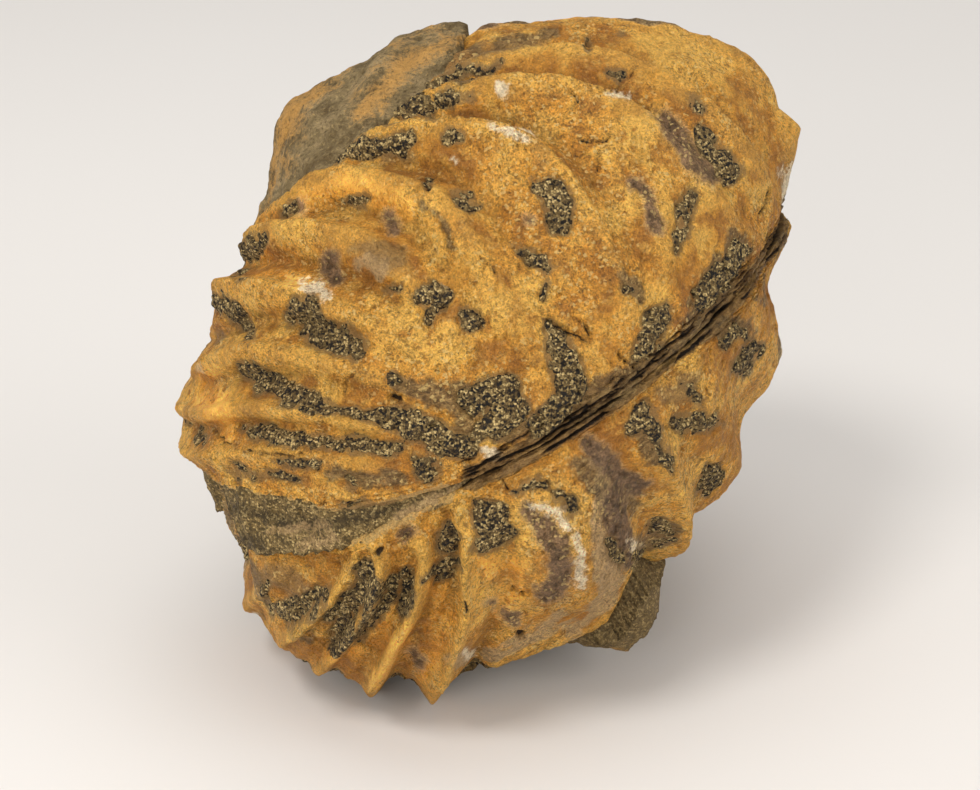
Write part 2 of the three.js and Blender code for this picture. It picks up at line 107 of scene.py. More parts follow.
LOWER_RIBS = [
    (4, 6, [[-44, -4, 0.4], [-56, -9, 0.8], [-70, -14, 1.1], [-83, -19, 1.9], [-98, -22, 0.8]]),
    (4, 3, [[-36, -5, 0.4], [-38, -9, 1], [-41, -11, 1.6], [-46, -13, 2], [-52, -16, 1.9], [-60, -19, 1.4],
            [-72, -24, 0.7], [-84, -28, 0.4]]),
    (4, 3, [[-33, -2, 0.6], [-31, -5, 1.2], [-31, -8, 1.8], [-34, -11, 2], [-38, -15, 2], [-44, -19, 1.8],
            [-51, -23, 1.6], [-62, -28, 1], [-74, -33, 0.5]]),
    (4, 3, [[-26, -3, 0.6], [-24, -7, 1.2], [-25, -11, 1.8], [-28, -15, 1.8], [-32, -19, 1.7],
            [-39, -24, 1.6], [-46, -29, 1.6], [-60, -37, 1.9], [-68, -41, 1.7]]),
    (4, 3.5, [[-17, -4, 0.6], [-16, -8, 1], [-18, -12, 1.5], [-20, -15, 1.8], [-22, -20, 1.9],
              [-26, -25, 2], [-32, -31, 2.2], [-42, -38, 2.8], [-52, -44.5, 3], [-59, -48, 1.8]]),
    (10, 8, [[1, -3, 0.2], [0, -10, 0.8], [-1, -20, 1.8], [-2, -30, 2.6], [-3, -42, 2], [-6, -52, 1]]),
    (5, 5, [[16, -3, 0.4], [20, -7, 1.2], [21, -13, 2], [22, -19, 2.6], [24, -27, 2.6], [29, -43, 2.4],
            [36, -58, 2.8], [42, -66, 2]]),
    (12, 9, [[28, -3, 0.2], [36, -14, 1.4], [43, -25, 2.2], [52, -37, 3.2], [64, -46, 3.8], [78, -52, 3]]),
    (11, 10, [[42, -2, 0.2], [50, -8, 1.4], [60, -13, 2.4], [71, -20, 3.6], [81, -26, 4.2], [94, -31, 3]]),
    (5, 7, [[66, -1, 0.2], [78, -2, 1.6], [90, -4, 3], [104, -8, 2.6], [120, -16, 1.6]]),
    (6, 8, [[92, -10, 0.3], [102, -18, 1.4], [110, -30, 2.2], [112, -44, 2], [106, -56, 1]]),
    (6, 8, [[112, -4, 0.6], [124, -10, 1.8], [134, -20, 2.6], [136, -34, 2]]),
    (6, 8, [[136, -6, 0.6], [148, -14, 1.8], [156, -26, 2.4], [152, -40, 1.8]]),
    (5, 7, [[-34, -55, 0.6], [-24, -58, 1.6], [-14, -60, 2.4], [-5, -60, 2.6], [1, -57, 2], [4, -52, 0.8]]),
]

# The edge of each valve as [turn, rise] stations, anticlockwise seen from outside.
UPPER_EDGE = [
    [-84, 7], [-62, 8], [-52, 7], [-44, 5], [-35, 2], [-24, 1], [-12, 0], [0, 0], [24, 1], [50, 1], [80, 0],
    [105, 0], [130, 1], [150, 2], [167, 7], [176, 18], [176, 32], [164, 46], [142, 57], [112, 67], [56, 73],
    [19, 73], [-10, 71], [-30, 67], [-48, 62], [-68, 57], [-88, 50], [-103, 41], [-111, 30], [-111, 20],
    [-100, 10],
]
LOWER_EDGE = [
    [-99, -7], [-108, -14], [-106, -24], [-96, -32], [-82, -38], [-70, -43], [-60, -49], [-45, -54],
    [-28, -59], [-14, -62], [-3, -63], [6, -60], [14, -59], [30, -66], [64, -67], [110, -62], [148, -52],
    [168, -38], [172, -24], [166, -12], [150, -5], [130, -3], [105, -2], [80, -2], [50, -1], [24, -1],
    [0, -2], [-12, -2.5], [-24, -3], [-35, -4], [-48, -3], [-62, -3], [-84, -4],
]


def turned(axis, degrees):
    return np.array(Matrix.Rotation(np.radians(degrees), 3, axis))


seam_axes = turned("X", SEAM_LEAN) @ turned("Y", SEAM_ROLL) @ turned("X", SEAM_TIP)
body_axes = turned("X", BODY_LEAN) @ turned("Y", BODY_ROLL)


def unit(vectors):
    return vectors / np.linalg.norm(vectors, axis=-1, keepdims=True)


def direction(turn, rise):
    turn, rise = np.radians(turn), np.radians(rise)
    local = np.stack([np.cos(rise) * np.sin(turn), -np.cos(rise) * np.cos(turn), np.sin(rise)], axis=-1)
    return local @ seam_axes.T


def angles(dirs):
    local = dirs @ seam_axes
    turn = np.degrees(np.arctan2(local[..., 0], -local[..., 1]))
    return turn, np.degrees(np.arcsin(np.clip(local[..., 2], -1, 1)))


def bell(x):
    return np.exp(-x * x)


def smoothstep(low, high, x):
    t = np.clip((x - low) / (high - low), 0, 1)
    return t * t * (3 - 2 * t)


def degrees_from(dirs, turn, rise):
    return np.degrees(np.arccos(np.clip(dirs @ direction(float(turn), float(rise)), -1, 1)))


def swell_height(swells, dirs):
    total = np.zeros(dirs.shape[:-1])
    for turn, rise, height, spread in swells:
        total += height * bell(degrees_from(dirs, turn, rise) / spread / np.sqrt(2))
    return total


def body_radius(dirs):
    shares = dirs @ body_axes / np.array([BODY_LONG, BODY_DEEP, BODY_SHORT])
    return 1 / np.linalg.norm(shares, axis=-1) + swell_height(BODY_SWELLS, dirs)


def curve(points, steps, closed=False):
    """A centripetal Catmull-Rom curve through the points, with `steps` places in each stretch."""
    points = np.asarray(points, dtype=float)
    if closed:
        padded = np.vstack([points[-1], points, points[0], points[1]])
    else:
        padded = np.vstack([2 * points[0] - points[1], points, 2 * points[-1] - points[-2]])
    places = []
    t = np.linspace(0, 1, steps, endpoint=False)[:, None]
    for p0, p1, p2, p3 in zip(padded, padded[1:], padded[2:], padded[3:]):
        d0, d1, d2 = (max(np.linalg.norm(b - a), 1e-8) ** 0.5 for a, b in ((p0, p1), (p1, p2), (p2, p3)))
        m1 = ((p1 - p0) / d0 - (p2 - p0) / (d0 + d1) + (p2 - p1) / d1) * d1
        m2 = ((p2 - p1) / d1 - (p3 - p1) / (d1 + d2) + (p3 - p2) / d2) * d1
        places.append(p1 + m1 * t + (3 * (p2 - p1) - 2 * m1 - m2) * t**2 + (2 * (p1 - p2) + m1 + m2) * t**3)
    if not closed:
        places.append(points[-1:])
    return np.vstack(places)


RIB_STEPS = 8  # places in each stretch of a ridge line
RIB_BLEND = 3
FLANK_BLEND = 0.6
# Unlike the CAD model's, a narrow rib here has a sharp crest, and a furrow beside it.
CREST_SHARE, CREST_WIDTH = 0.62, 0.34  # of a rib's height and spread
CREST_SPREADS = 5.5, 4.5  # a narrower spread than these brings the crest out
FURROW_PLACE, FURROW_WIDTH, FURROW_DEPTH = 1.7, 0.6, 0.7  # shares of the rib's spread and height
FURROW_SPREADS = 6, 4  # a narrower spread than these brings the furrow out
FURROW_FILL = 1.6, 0.4  # a higher rib than these fills the furrow that it crosses


def read_ribs(rows):
    ribs = []
    for steep, gentle, line in rows:
        stations = np.array(line, dtype=float)
        places = unit(curve(direction(stations[:, 0], stations[:, 1]), RIB_STEPS))
        along = np.linspace(0, len(stations) - 1, len(places))
        heights = np.interp(along, np.arange(len(stations)), stations[:, 2])
        ribs.append((steep, gentle, places, heights))
    return ribs


def rib_height(rib, dirs):
    steep, gentle, places, heights = rib
    closest = (dirs @ places.T).argmax(axis=-1)
    nearest = np.full(len(dirs), np.inf)
    height = np.zeros(len(dirs))
    spread = np.full(len(dirs), float(steep))
    for first in (np.maximum(closest - 1, 0), np.minimum(closest, len(places) - 2)):
        a, b = places[first], places[first + 1]
        ahead = b - a
        t = np.clip(((dirs - a) * ahead).sum(-1) / (ahead**2).sum(-1), 0, 1)
        away = dirs - a - t[:, None] * ahead
        gap = np.linalg.norm(away, axis=-1)
        side = (np.cross(unit(ahead), away / np.maximum(gap, 1e-9)[:, None]) * dirs).sum(-1)
        left = np.clip(0.5 + FLANK_BLEND * side, 0, 1)
        closer = gap < nearest
        nearest = np.where(closer, gap, nearest)
        height = np.where(closer, heights[first] + t * (heights[first + 1] - heights[first]), height)
        spread = np.where(closer, steep + (gentle - steep) * left, spread)
    gap = np.degrees(nearest)
    share = CREST_SHARE * smoothstep(*CREST_SPREADS, min(steep, gentle))
    crest = (1 - share) * bell(gap / spread) + share * bell(gap / (CREST_WIDTH * spread))
    beside = bell((gap - FURROW_PLACE * spread) / (FURROW_WIDTH * spread))
    return height * crest, height * FURROW_DEPTH * (beside * smoothstep(*FURROW_SPREADS, spread))


def ribbed(ribs, dirs):
    """Height of the ribs, and depth of the furrows beside them."""
    heights, furrows = zip(*(rib_height(rib, dirs) for rib in ribs))
    height = sum(height**RIB_BLEND for height in heights) ** (1 / RIB_BLEND)
    return height, np.max(furrows, axis=0) * smoothstep(*FURROW_FILL, height)


upper_ribs = read_ribs(UPPER_RIBS)
lower_ribs = read_ribs(LOWER_RIBS)


# ---------------------------------------------------------------- noise
def lattice(cell, seed):
    """A number from 0 to 1 for each whole-numbered cell, the same on each run."""
    c = cell.astype(np.int64)
    h = (c[..., 0] * 73856093) ^ (c[..., 1] * 19349663) ^ (c[..., 2] * 83492791) ^ (seed * 2654435761)
    for shift, factor in ((15, 0x2C1B3C6D), (12, 0x297A2D39)):
        h &= 0xFFFFFFFF
        h = (h ^ (h >> shift)) * factor
    h &= 0xFFFFFFFF
    return (h ^ (h >> 15)) / 2.0**32


def noise(points, size, seed):
    """Smooth noise from -1 to 1 with features about `size` across."""
    scaled = points / size
    base = np.floor(scaled)
    t = scaled - base
    t = t * t * (3 - 2 * t)
    total = np.zeros(points.shape[:-1])
    for corner in np.ndindex(2, 2, 2):
        weight = np.where(corner, t, 1 - t).prod(axis=-1)
        total += weight * lattice(base + corner, seed)
    return 2 * total - 1


def rough(points, size, seed, octaves=3):
    """Noise with ever finer noise added, each half as large and half as high."""
    return sum(noise(points, size / 2**k, seed + k) / 2**k for k in range(octaves))


def grains(points, size, seed):
    """The distance to the nearest of scattered specks, from 0 to about 1, and the speck's own number."""
    scaled = points / size
    base = np.floor(scaled)
    nearest = np.full(points.shape[:-1], np.inf)
    own = np.zeros(points.shape[:-1])
    for corner in np.ndindex(3, 3, 3):
        cell = base + corner - 1
        speck = cell + np.stack([lattice(cell, seed + k) for k in range(3)], axis=-1)
        gap = np.linalg.norm(speck - scaled, axis=-1)
        closer = gap < nearest
        nearest = np.where(closer, gap, nearest)
        own = np.where(closer, lattice(cell, seed + 3), own)
    return nearest, own


def waves(points, rows, seed):
    """The sum of rough forms, each a row of height, size, what its seed adds, and octaves."""
    return sum(height * rough(points, size, seed + own, octaves) for height, size, own, octaves in rows)


def pits(points, size, seed, rarity, width):
    """1 in the middle of scattered pits and 0 outside them."""
    speck, own = grains(points, size, seed)
    return np.where(own > rarity, smoothstep(width, 0.1, speck), 0)


# ---------------------------------------------------------------- camera
# The picture is 980 x 790 pixels. A traced place is [x, y] in its pixels, from the top left.
PICTURE_WIDTH = 980
PICTURE_MIDDLE = np.array([490.0, 395.0])
FOCAL_PIXELS = 2475.0
SENSOR_WIDTH = 36.0
CAMERA_ELEVATION = 25.0
CAMERA_DISTANCE = 330.0
CAMERA_AIM_RIGHT, CAMERA_AIM_UP = 0.27, -5.73  # from CENTRE, in the picture's plane
PIXELS_PER_MM = FOCAL_PIXELS / CAMERA_DISTANCE

camera_right = np.array([1.0, 0.0, 0.0])
camera_up = np.array([0.0, np.sin(np.radians(CAMERA_ELEVATION)), np.cos(np.radians(CAMERA_ELEVATION))])
camera_back = np.cross(camera_right, camera_up)
eye = CAMERA_AIM_RIGHT * camera_right + CAMERA_AIM_UP * camera_up + CAMERA_DISTANCE * camera_back


def picture_place(points):
    offset = points - eye
    depth = -(offset @ camera_back)
    plane = np.stack([offset @ camera_right, -(offset @ camera_up)], axis=-1)
    return PICTURE_MIDDLE + FOCAL_PIXELS * plane / depth[..., None]


# ---------------------------------------------------------------- traced places
# A stroke is a row of [x, y, half width] stations in the picture. A single station is a round spot.
SAND_STROKES = [
    [[640, 558, 7], [655, 551, 8], [672, 545, 5]],
    # upper valve, from the crown down its left side
    [[430, 86, 4], [450, 76, 5], [470, 73, 5], [490, 72, 4], [505, 65, 3]],
    [[357, 127, 3], [375, 118, 6], [395, 110, 10], [415, 103, 13], [431, 109, 8]],
    [[443, 101, 8], [455, 99, 7]],
    [[468, 96, 4]],
    [[335, 160, 4], [350, 153, 8], [370, 148, 12], [395, 146, 13], [410, 141, 8]],
    [[448, 137, 5], [460, 135, 7]],
    [[283, 212, 6], [292, 203, 6]],
    [[345, 204, 2], [362, 201, 7], [366, 208, 4]],
    [[428, 185, 5]],
    [[452, 195, 4], [465, 201, 7], [478, 208, 5]],
    [[239, 268, 7], [245, 252, 11], [255, 240, 9]],
    [[212, 300, 8], [222, 305, 8], [236, 318, 8], [250, 333, 6]],
    [[290, 320, 6], [303, 308, 15], [318, 330, 16], [336, 340, 17], [355, 349, 12], [366, 345, 5]],
    [[388, 290, 4], [400, 288, 4]],
    [[418, 295, 6], [432, 290, 8], [445, 298, 7], [430, 310, 7]],
    [[470, 322, 11]],
    [[392, 378, 3], [402, 381, 5]],
    [[243, 372, 8], [258, 378, 12], [275, 388, 13], [292, 396, 11], [310, 404, 9], [330, 408, 7],
     [352, 415, 6], [375, 416, 9], [400, 417, 14], [425, 428, 16], [445, 440, 16],
     [465, 448, 12], [475, 452, 6]],
    [[246, 428, 5], [262, 434, 9], [285, 438, 9], [310, 440, 7], [335, 444, 6], [355, 446, 9], [380, 448, 10],
     [398, 446, 7]],
    [[280, 460, 4], [300, 464, 6], [315, 466, 6]],
    [[232, 466, 4], [245, 472, 5], [255, 475, 4]],
    [[268, 474, 5], [283, 478, 7], [297, 482, 5]],
    [[415, 455, 6], [425, 465, 13], [428, 478, 10]],
    [[350, 483, 8]],
    [[340, 505, 5], [360, 508, 9], [375, 515, 9], [395, 511, 6]],
    [[197, 437, 7]],
    # upper valve, from the crown down its right side
    [[590, 40, 5]],
    [[620, 30, 4]],
    [[611, 73, 4], [617, 78, 4]],
    [[693, 92, 3], [700, 105, 5]],
    [[703, 130, 6], [712, 145, 10], [725, 162, 10], [735, 178, 8]],
    [[690, 190, 7], [685, 205, 8], [687, 220, 8], [675, 240, 6], [672, 248, 4]],
    [[538, 188, 6], [553, 190, 13], [560, 205, 14], [560, 222, 10]],
    [[522, 248, 5], [535, 257, 10], [548, 266, 5]],
    [[549, 285, 4], [546, 297, 4]],
    [[628, 290, 7]],
    [[738, 250, 10], [728, 268, 12], [712, 288, 12], [703, 305, 8]],
    [[462, 400, 8], [475, 405, 12], [492, 392, 17], [508, 386, 14], [510, 408, 18], [494, 424, 16],
     [478, 434, 8]],
    [[552, 328, 8], [560, 345, 14], [565, 365, 18], [572, 385, 18], [565, 402, 12], [548, 420, 12],
     [532, 430, 10]],
    [[657, 318, 14], [650, 335, 10], [640, 352, 8]],
    [[660, 345, 7]],
    # lower valve, right of its tallest ribs
    [[740, 368, 9], [750, 355, 10], [758, 350, 6]],
    [[725, 340, 8], [740, 331, 8]],
    [[688, 388, 7], [698, 398, 7]],
    [[680, 425, 7], [697, 423, 9], [715, 422, 8]],
    [[632, 432, 8], [645, 412, 12], [650, 430, 12], [660, 445, 8], [668, 460, 7], [672, 475, 5]],
    [[712, 475, 11], [702, 490, 9]],
    [[660, 530, 11], [668, 535, 8]],
    [[640, 571, 10], [655, 562, 8]],
    [[610, 546, 7], [615, 558, 8]],
    # lower valve, left
    [[560, 495, 6], [571, 511, 7]],
    [[515, 495, 4], [535, 488, 6], [549, 482, 4]],
    [[478, 512, 11], [492, 524, 18], [502, 532, 14], [482, 546, 8]],
    [[450, 531, 10], [443, 546, 10]],
    [[429, 575, 7], [445, 569, 9], [457, 565, 6]],
    [[405, 574, 7], [411, 588, 8], [408, 602, 8], [401, 613, 5]],
    [[390, 580, 8], [387, 597, 10], [376, 611, 8], [367, 625, 8], [358, 637, 5]],
    [[362, 567, 10], [367, 583, 13], [360, 597, 14], [350, 606, 12], [337, 612, 9], [325, 618, 5]],
    [[345, 622, 10], [341, 638, 10], [336, 648, 7]],
    [[272, 611, 8], [291, 610, 12], [306, 604, 12], [320, 596, 8]],
    [[288, 622, 5]],
    [[265, 590, 7]],
]
DUSTY_STROKES = [
    [[430, 72, 10], [450, 62, 10], [475, 54, 8], [505, 46, 6], [545, 40, 5]],
    [[385, 160, 6], [405, 152, 9]],
    [[350, 248, 4], [375, 251, 9], [395, 256, 10], [408, 250, 5]],
    [[218, 340, 7]],
    [[690, 378, 8], [678, 395, 10], [660, 392, 7]],
    [[255, 580, 9], [272, 575, 10], [288, 580, 12], [312, 592, 8]],
    [[442, 544, 14]],
    [[364, 562, 7]],
]
PURPLE_STROKES = [
    [[662, 115, 6], [675, 132, 9], [690, 150, 8], [705, 168, 10], [715, 175, 6]],
    [[635, 182, 4], [645, 190, 4], [650, 203, 4], [652, 215, 4], [657, 226, 7]],
    [[330, 262, 7], [334, 280, 8]],
    [[389, 215, 4], [394, 228, 5]],
    [[300, 205, 6]],
    [[530, 222, 4]],
    [[408, 531, 7]],
    [[527, 511, 6], [536, 520, 8], [541, 535, 6]],
    [[546, 524, 8], [556, 543, 10], [562, 565, 12], [560, 585, 11], [546, 597, 6], [537, 592, 3]],
    [[588, 445, 7], [606, 463, 11], [623, 480, 13], [641, 487, 7]],
    [[614, 498, 11], [614, 515, 10], [622, 535, 12], [629, 556, 10]],
    [[361, 573, 6]],
    [[313, 592, 5]],
    [[412, 650, 5], [418, 662, 7]],
    [[505, 612, 4], [513, 620, 7]],
    [[490, 602, 4]],
]
CORD_STROKES = [  # raised crests of the lower valve's thin ribs
    [[358, 554, 3], [350, 564, 4], [345, 576, 4], [336, 591, 4], [326, 606, 4], [314, 617, 4], [304, 626, 4],
     [292, 633, 3]],
    [[366, 540, 3], [376, 548, 4], [380, 562, 4], [381, 576, 4], [378, 591, 4], [372, 606, 4], [363, 617, 4],
     [356, 628, 4], [353, 635, 3]],
    [[414, 540, 4], [423, 554, 5], [424, 569, 5], [420, 584, 5], [416, 600, 4], [410, 616, 4], [402, 629, 4],
     [394, 645, 4], [382, 666, 4], [372, 685, 3]],
    [[460, 509, 3], [457, 522, 4], [464, 534, 4], [467, 545, 4], [464, 559, 4], [464, 570, 4], [467, 582, 4],
     [468, 600, 3], [465, 620, 3], [460, 639, 3], [452, 661, 3], [443, 685, 3]],
]
CORD_HEIGHT = 1.1
# White streaks in the shell; one stroke is a painted highlight.
WHITE_STROKES = [
    [[528, 508, 2], [545, 508, 4], [560, 518, 5], [570, 532, 4], [578, 548, 4], [582, 566, 6], [580, 586, 4]],
    [[503, 91, 9]],
    # a painted highlight along the top edge of a rib
    [[495, 125, 4], [512, 133, 5], [530, 137, 4]],
    [[302, 285, 5], [315, 287, 8], [325, 298, 5]],
    [[484, 450, 5], [497, 457, 7]],
    [[445, 292, 5]],
    [[612, 93, 4], [628, 97, 4]],
    [[470, 655, 7]],
    [[635, 545, 7]],
    [[455, 160, 4]],
]
TAN_STROKES = [
    [[596, 545, 6], [605, 572, 10], [606, 600, 11], [592, 622, 10], [566, 632, 8]],
    [[468, 664, 7], [500, 655, 9], [530, 641, 9], [553, 624, 7]],
    [[598, 475, 6], [601, 495, 7], [597, 520, 9], [601, 545, 9], [610, 568, 12], [613, 592, 11],
     [604, 610, 10], [588, 624, 8]],
    [[455, 660, 8], [480, 662, 9], [505, 655, 10], [530, 640, 10], [548, 626, 6], [562, 612, 4]],
    [[238, 570, 8], [242, 590, 10], [252, 608, 8]],
    [[365, 262, 10], [380, 268, 12]],
    [[192, 372, 8], [188, 395, 6]],
]
MUD_STROKES = [
    [[500, 440, 6], [530, 428, 13], [570, 410, 18], [610, 388, 17], [645, 364, 12], [680, 338, 8],
     [705, 308, 15], [722, 272, 17], [738, 238, 9]],
    [[575, 462, 8], [600, 478, 20], [622, 505, 18]],
    [[640, 425, 12], [655, 455, 12]],
    [[700, 335, 6], [735, 326, 12], [752, 334, 7]],
    [[741, 366, 9], [751, 348, 7]],
    [[771, 262, 6], [763, 300, 5]],
    [[620, 270, 6], [634, 285, 9], [640, 298, 6]],
    [[400, 380, 8], [430, 392, 12], [470, 402, 14], [500, 398, 12]],
    [[335, 470, 7], [365, 480, 8], [400, 478, 8]],
    [[452, 405, 8], [470, 430, 10]],
    [[252, 565, 6], [258, 585, 9], [272, 612, 8]],
    [[478, 52, 7], [515, 40, 6], [560, 30, 5]],
    [[500, 66, 4], [470, 72, 5], [452, 84, 4]],
    [[292, 632, 4], [312, 640, 5]],
    [[620, 560, 10], [650, 540, 10], [672, 530, 8]],
    [[425, 200, 5], [440, 215, 5], [452, 250, 4]],
]
# Painted light: places where the shell's colour is made lighter, on valley walls and lobes that face away
# from the lamps.
PAINTED_LIGHT_STROKES = [
    [[440, 590, 10], [443, 615, 12], [436, 645, 12], [425, 672, 8]],
    [[405, 630, 6], [395, 660, 7], [380, 680, 6]],
    [[350, 650, 7], [330, 658, 8]],
    [[384, 612, 8], [380, 635, 10], [392, 650, 8]],
    [[300, 205, 10], [350, 185, 12], [400, 205, 14]],
    [[255, 258, 10], [300, 275, 12]],
    [[490, 560, 12], [515, 575, 14], [500, 610, 12]],
    [[262, 268, 12], [290, 262, 10]],
    [[205, 375, 12], [212, 405, 16], [230, 425, 12]],
    [[225, 270, 8], [262, 240, 8]],
]
CRACK_STROKES = [
    [[545, 319, 0.4], [562, 328, 0.4], [578, 336, 0.4], [590, 342, 0]],
    [[575, 318, 0], [583, 325, 0.4], [590, 335, 0.4]],
    [[617, 353, 0], [626, 358, 0.4], [636, 368, 0.4], [645, 376, 1]],
    [[615, 92, 0], [627, 78, 0.4], [639, 65, 0]],
    [[749, 135, 0], [764, 142, 0.4], [780, 155, 0]],
    [[775, 182, 0], [765, 200, 0.4], [757, 217, 0]],
    [[578, 137, 0], [592, 139, 0.4], [605, 140, 0.4], [612, 134, 0]],
    [[572, 92, 0], [579, 100, 0.4], [575, 108, 0]],
    [[600, 150, 0], [598, 170, 0]],
    [[213, 430, 0], [222, 440, 0.4], [240, 448, 0.4], [256, 452, 0.4], [285, 455, 0], [310, 452, 0]],
    [[346, 400, 0], [350, 378, 0], [360, 368, 0]],
    [[462, 458, 0], [470, 468, 0.4], [475, 476, 0]],
    [[502, 480, 0], [508, 492, 0.4]],
    [[548, 480, 0], [552, 492, 0.4]],
    [[500, 275, 0], [488, 262, 0], [478, 255, 0]],
]
HOLE_STROKES = [
    [[380, 550, 4]], [[393, 396, 3], [399, 399, 3]], [[697, 291, 3]], [[514, 590, 2]], [[522, 593, 3]],
    [[520, 636, 4]], [[590, 42, 3]], [[428, 188, 3]], [[466, 598, 2], [467, 612, 2]],
]
ROCK_OCHRE_STROKES = [
    [[362, 112, 6], [380, 92, 9], [400, 72, 9], [425, 52, 9], [450, 42, 6], [480, 36, 5]],
    [[288, 132, 7], [293, 120, 7]],
    [[312, 82, 7], [330, 74, 5]],
    [[276, 150, 4], [285, 165, 5]],
]
# Painted shade on the sandstone in the gape, just under the upper valve's edge.
GAPE_SHADE_STROKES = [
    [[222, 508, 3], [255, 512, 6], [290, 522, 6], [330, 524, 5], [370, 516, 4], [400, 506, 3]],
    [[240, 540, 4], [262, 548, 5]],
    [[326, 556, 4], [345, 552, 3]],
]
GAPE_PALE_STROKES = [
    [[272, 532, 3], [296, 528, 4], [325, 524, 3]],
    [[395, 518, 4], [425, 505, 6], [455, 490, 5], [478, 478, 3]],
    [[300, 545, 4], [330, 540, 5]],
]
# The stains, with painted light among them: the pale strokes, and a painted highlight among the white ones.
STAINS_AND_PAINTED_LIGHT = {
    "dusty": DUSTY_STROKES, "purple": PURPLE_STROKES, "white": WHITE_STROKES, "tan": TAN_STROKES,
    "pale": PAINTED_LIGHT_STROKES, "mud": MUD_STROKES,
}
FAR_OUTSIDE, FAR_INSIDE = -6.0, 6.0  # millimetres, what a place far from every stroke is given
STROKE_WANDER, WANDER_SIZE = 0.7, 2.4  # millimetres that a stroke's edge wanders, and in how long waves
FACING = 0.05, 0.2  # from hidden to seen, by how squarely the surface faces the camera


class Traced:
    """Places on a surface as the camera sees them, to be measured against strokes."""

    def __init__(self, dirs, points):
        self.place = picture_place(points)
        self.shift = np.stack([rough(points, WANDER_SIZE, seed) for seed in (11, 12)], axis=-1)
        self.facing = smoothstep(*FACING, (dirs * unit(eye - points)).sum(-1))

    def inside(self, strokes, wander):
        """How far inside the nearest stroke each place lies, in millimetres, negative outside."""
        place = self.place + wander * PIXELS_PER_MM * self.shift
        best = np.full(len(place), FAR_OUTSIDE * PIXELS_PER_MM)
        for stroke in strokes:
            stations = np.array(stroke, dtype=float)
            for start, end in zip(stations, stations[1:] if len(stations) > 1 else stations):
                along = end[:2] - start[:2]
                t = np.clip((place - start[:2]) @ along / max(along @ along, 1e-6), 0, 1)
                gap = np.linalg.norm(place - start[:2] - t[:, None] * along, axis=-1)
                best = np.maximum(best, start[2] + t * (end[2] - start[2]) - gap)
        return best / PIXELS_PER_MM

    def marked(self, strokes, elsewhere=FAR_OUTSIDE, wander=STROKE_WANDER):
        """The strokes' field where the camera sees the surface, and the other field where it doesn't."""
        return self.facing * self.inside(strokes, wander) + (1 - self.facing) * elsewhere


# ---------------------------------------------------------------- surfaces
AROUND = 40  # about the shell's radius, which turns radians round it into millimetres
SEAM_FLAKES, FLAKE_STEP, FLAKE_HEIGHT = 2.2, 0.62, 0.3  # the flaky band along the seam: width, layer and step
SEAM_CRACKS = [  # how far each lies from the seam, how far it wanders and its half width
    (0.12, 0.12, 0.16), (0.5, 0.32, 0.06), (0.9, 0.4, 0.08), (1.35, 0.4, 0.02), (1.85, 0.4, 0),
]
SEAM_CRACKED = (-12, 118)  # turns between which the valves meet closely and the cracks run
CRACK_FADE, SEAM_FADE = 6, 5  # degrees past them over which the cracks and the muddy band end
CRACK_WIDTH, CRACK_DEPTH = 0.13, 0.5  # of a hairline crack; the wider ones are twice as deep
HOLE_DEPTH = 1.2
SAND_SINK = 0.35  # how far the shell lies lower under its sand
SHELL_WAVES = [(0.34, 7.0, 0, 3), (0.18, 2.4, 5, 3), (0.12, 0.8, 9, 1)]
PIT_DEPTH, LAYER_HEIGHT = 0.34, 0.3


def edge_sides(stations):
    """The low and the high side of a valve's edge, each as (turns, rises) with the turns rising."""
    stations = np.array(stations, dtype=float)
    turn, rise = angles(unit(curve(direction(stations[:, 0], stations[:, 1]), 24, closed=True)))
    first = turn.argmin()
    turn, rise = np.roll(turn, -first), np.roll(rise, -first)
    last = turn.argmax()
    low = (np.maximum.accumulate(turn[:last + 1]), rise[:last + 1])
    turn, rise = np.append(turn[last:], turn[0])[::-1], np.append(rise[last:], rise[0])[::-1]
    return low, (np.maximum.accumulate(turn), rise)


def fine_relief(points, seed):
    """Small bumps, pits and broken layers of worn shell."""
    layer = 2.2 * rough(points, 6.0, seed + 12)
    step = LAYER_HEIGHT * smoothstep(0.0, 0.25, layer - np.floor(layer))
    relief = waves(points, SHELL_WAVES, seed) - PIT_DEPTH * pits(points, 1.3, seed + 20, 0.66, 0.45)
    return relief + step * smoothstep(-0.2, 0.3, noise(points, 9.0, seed + 15))


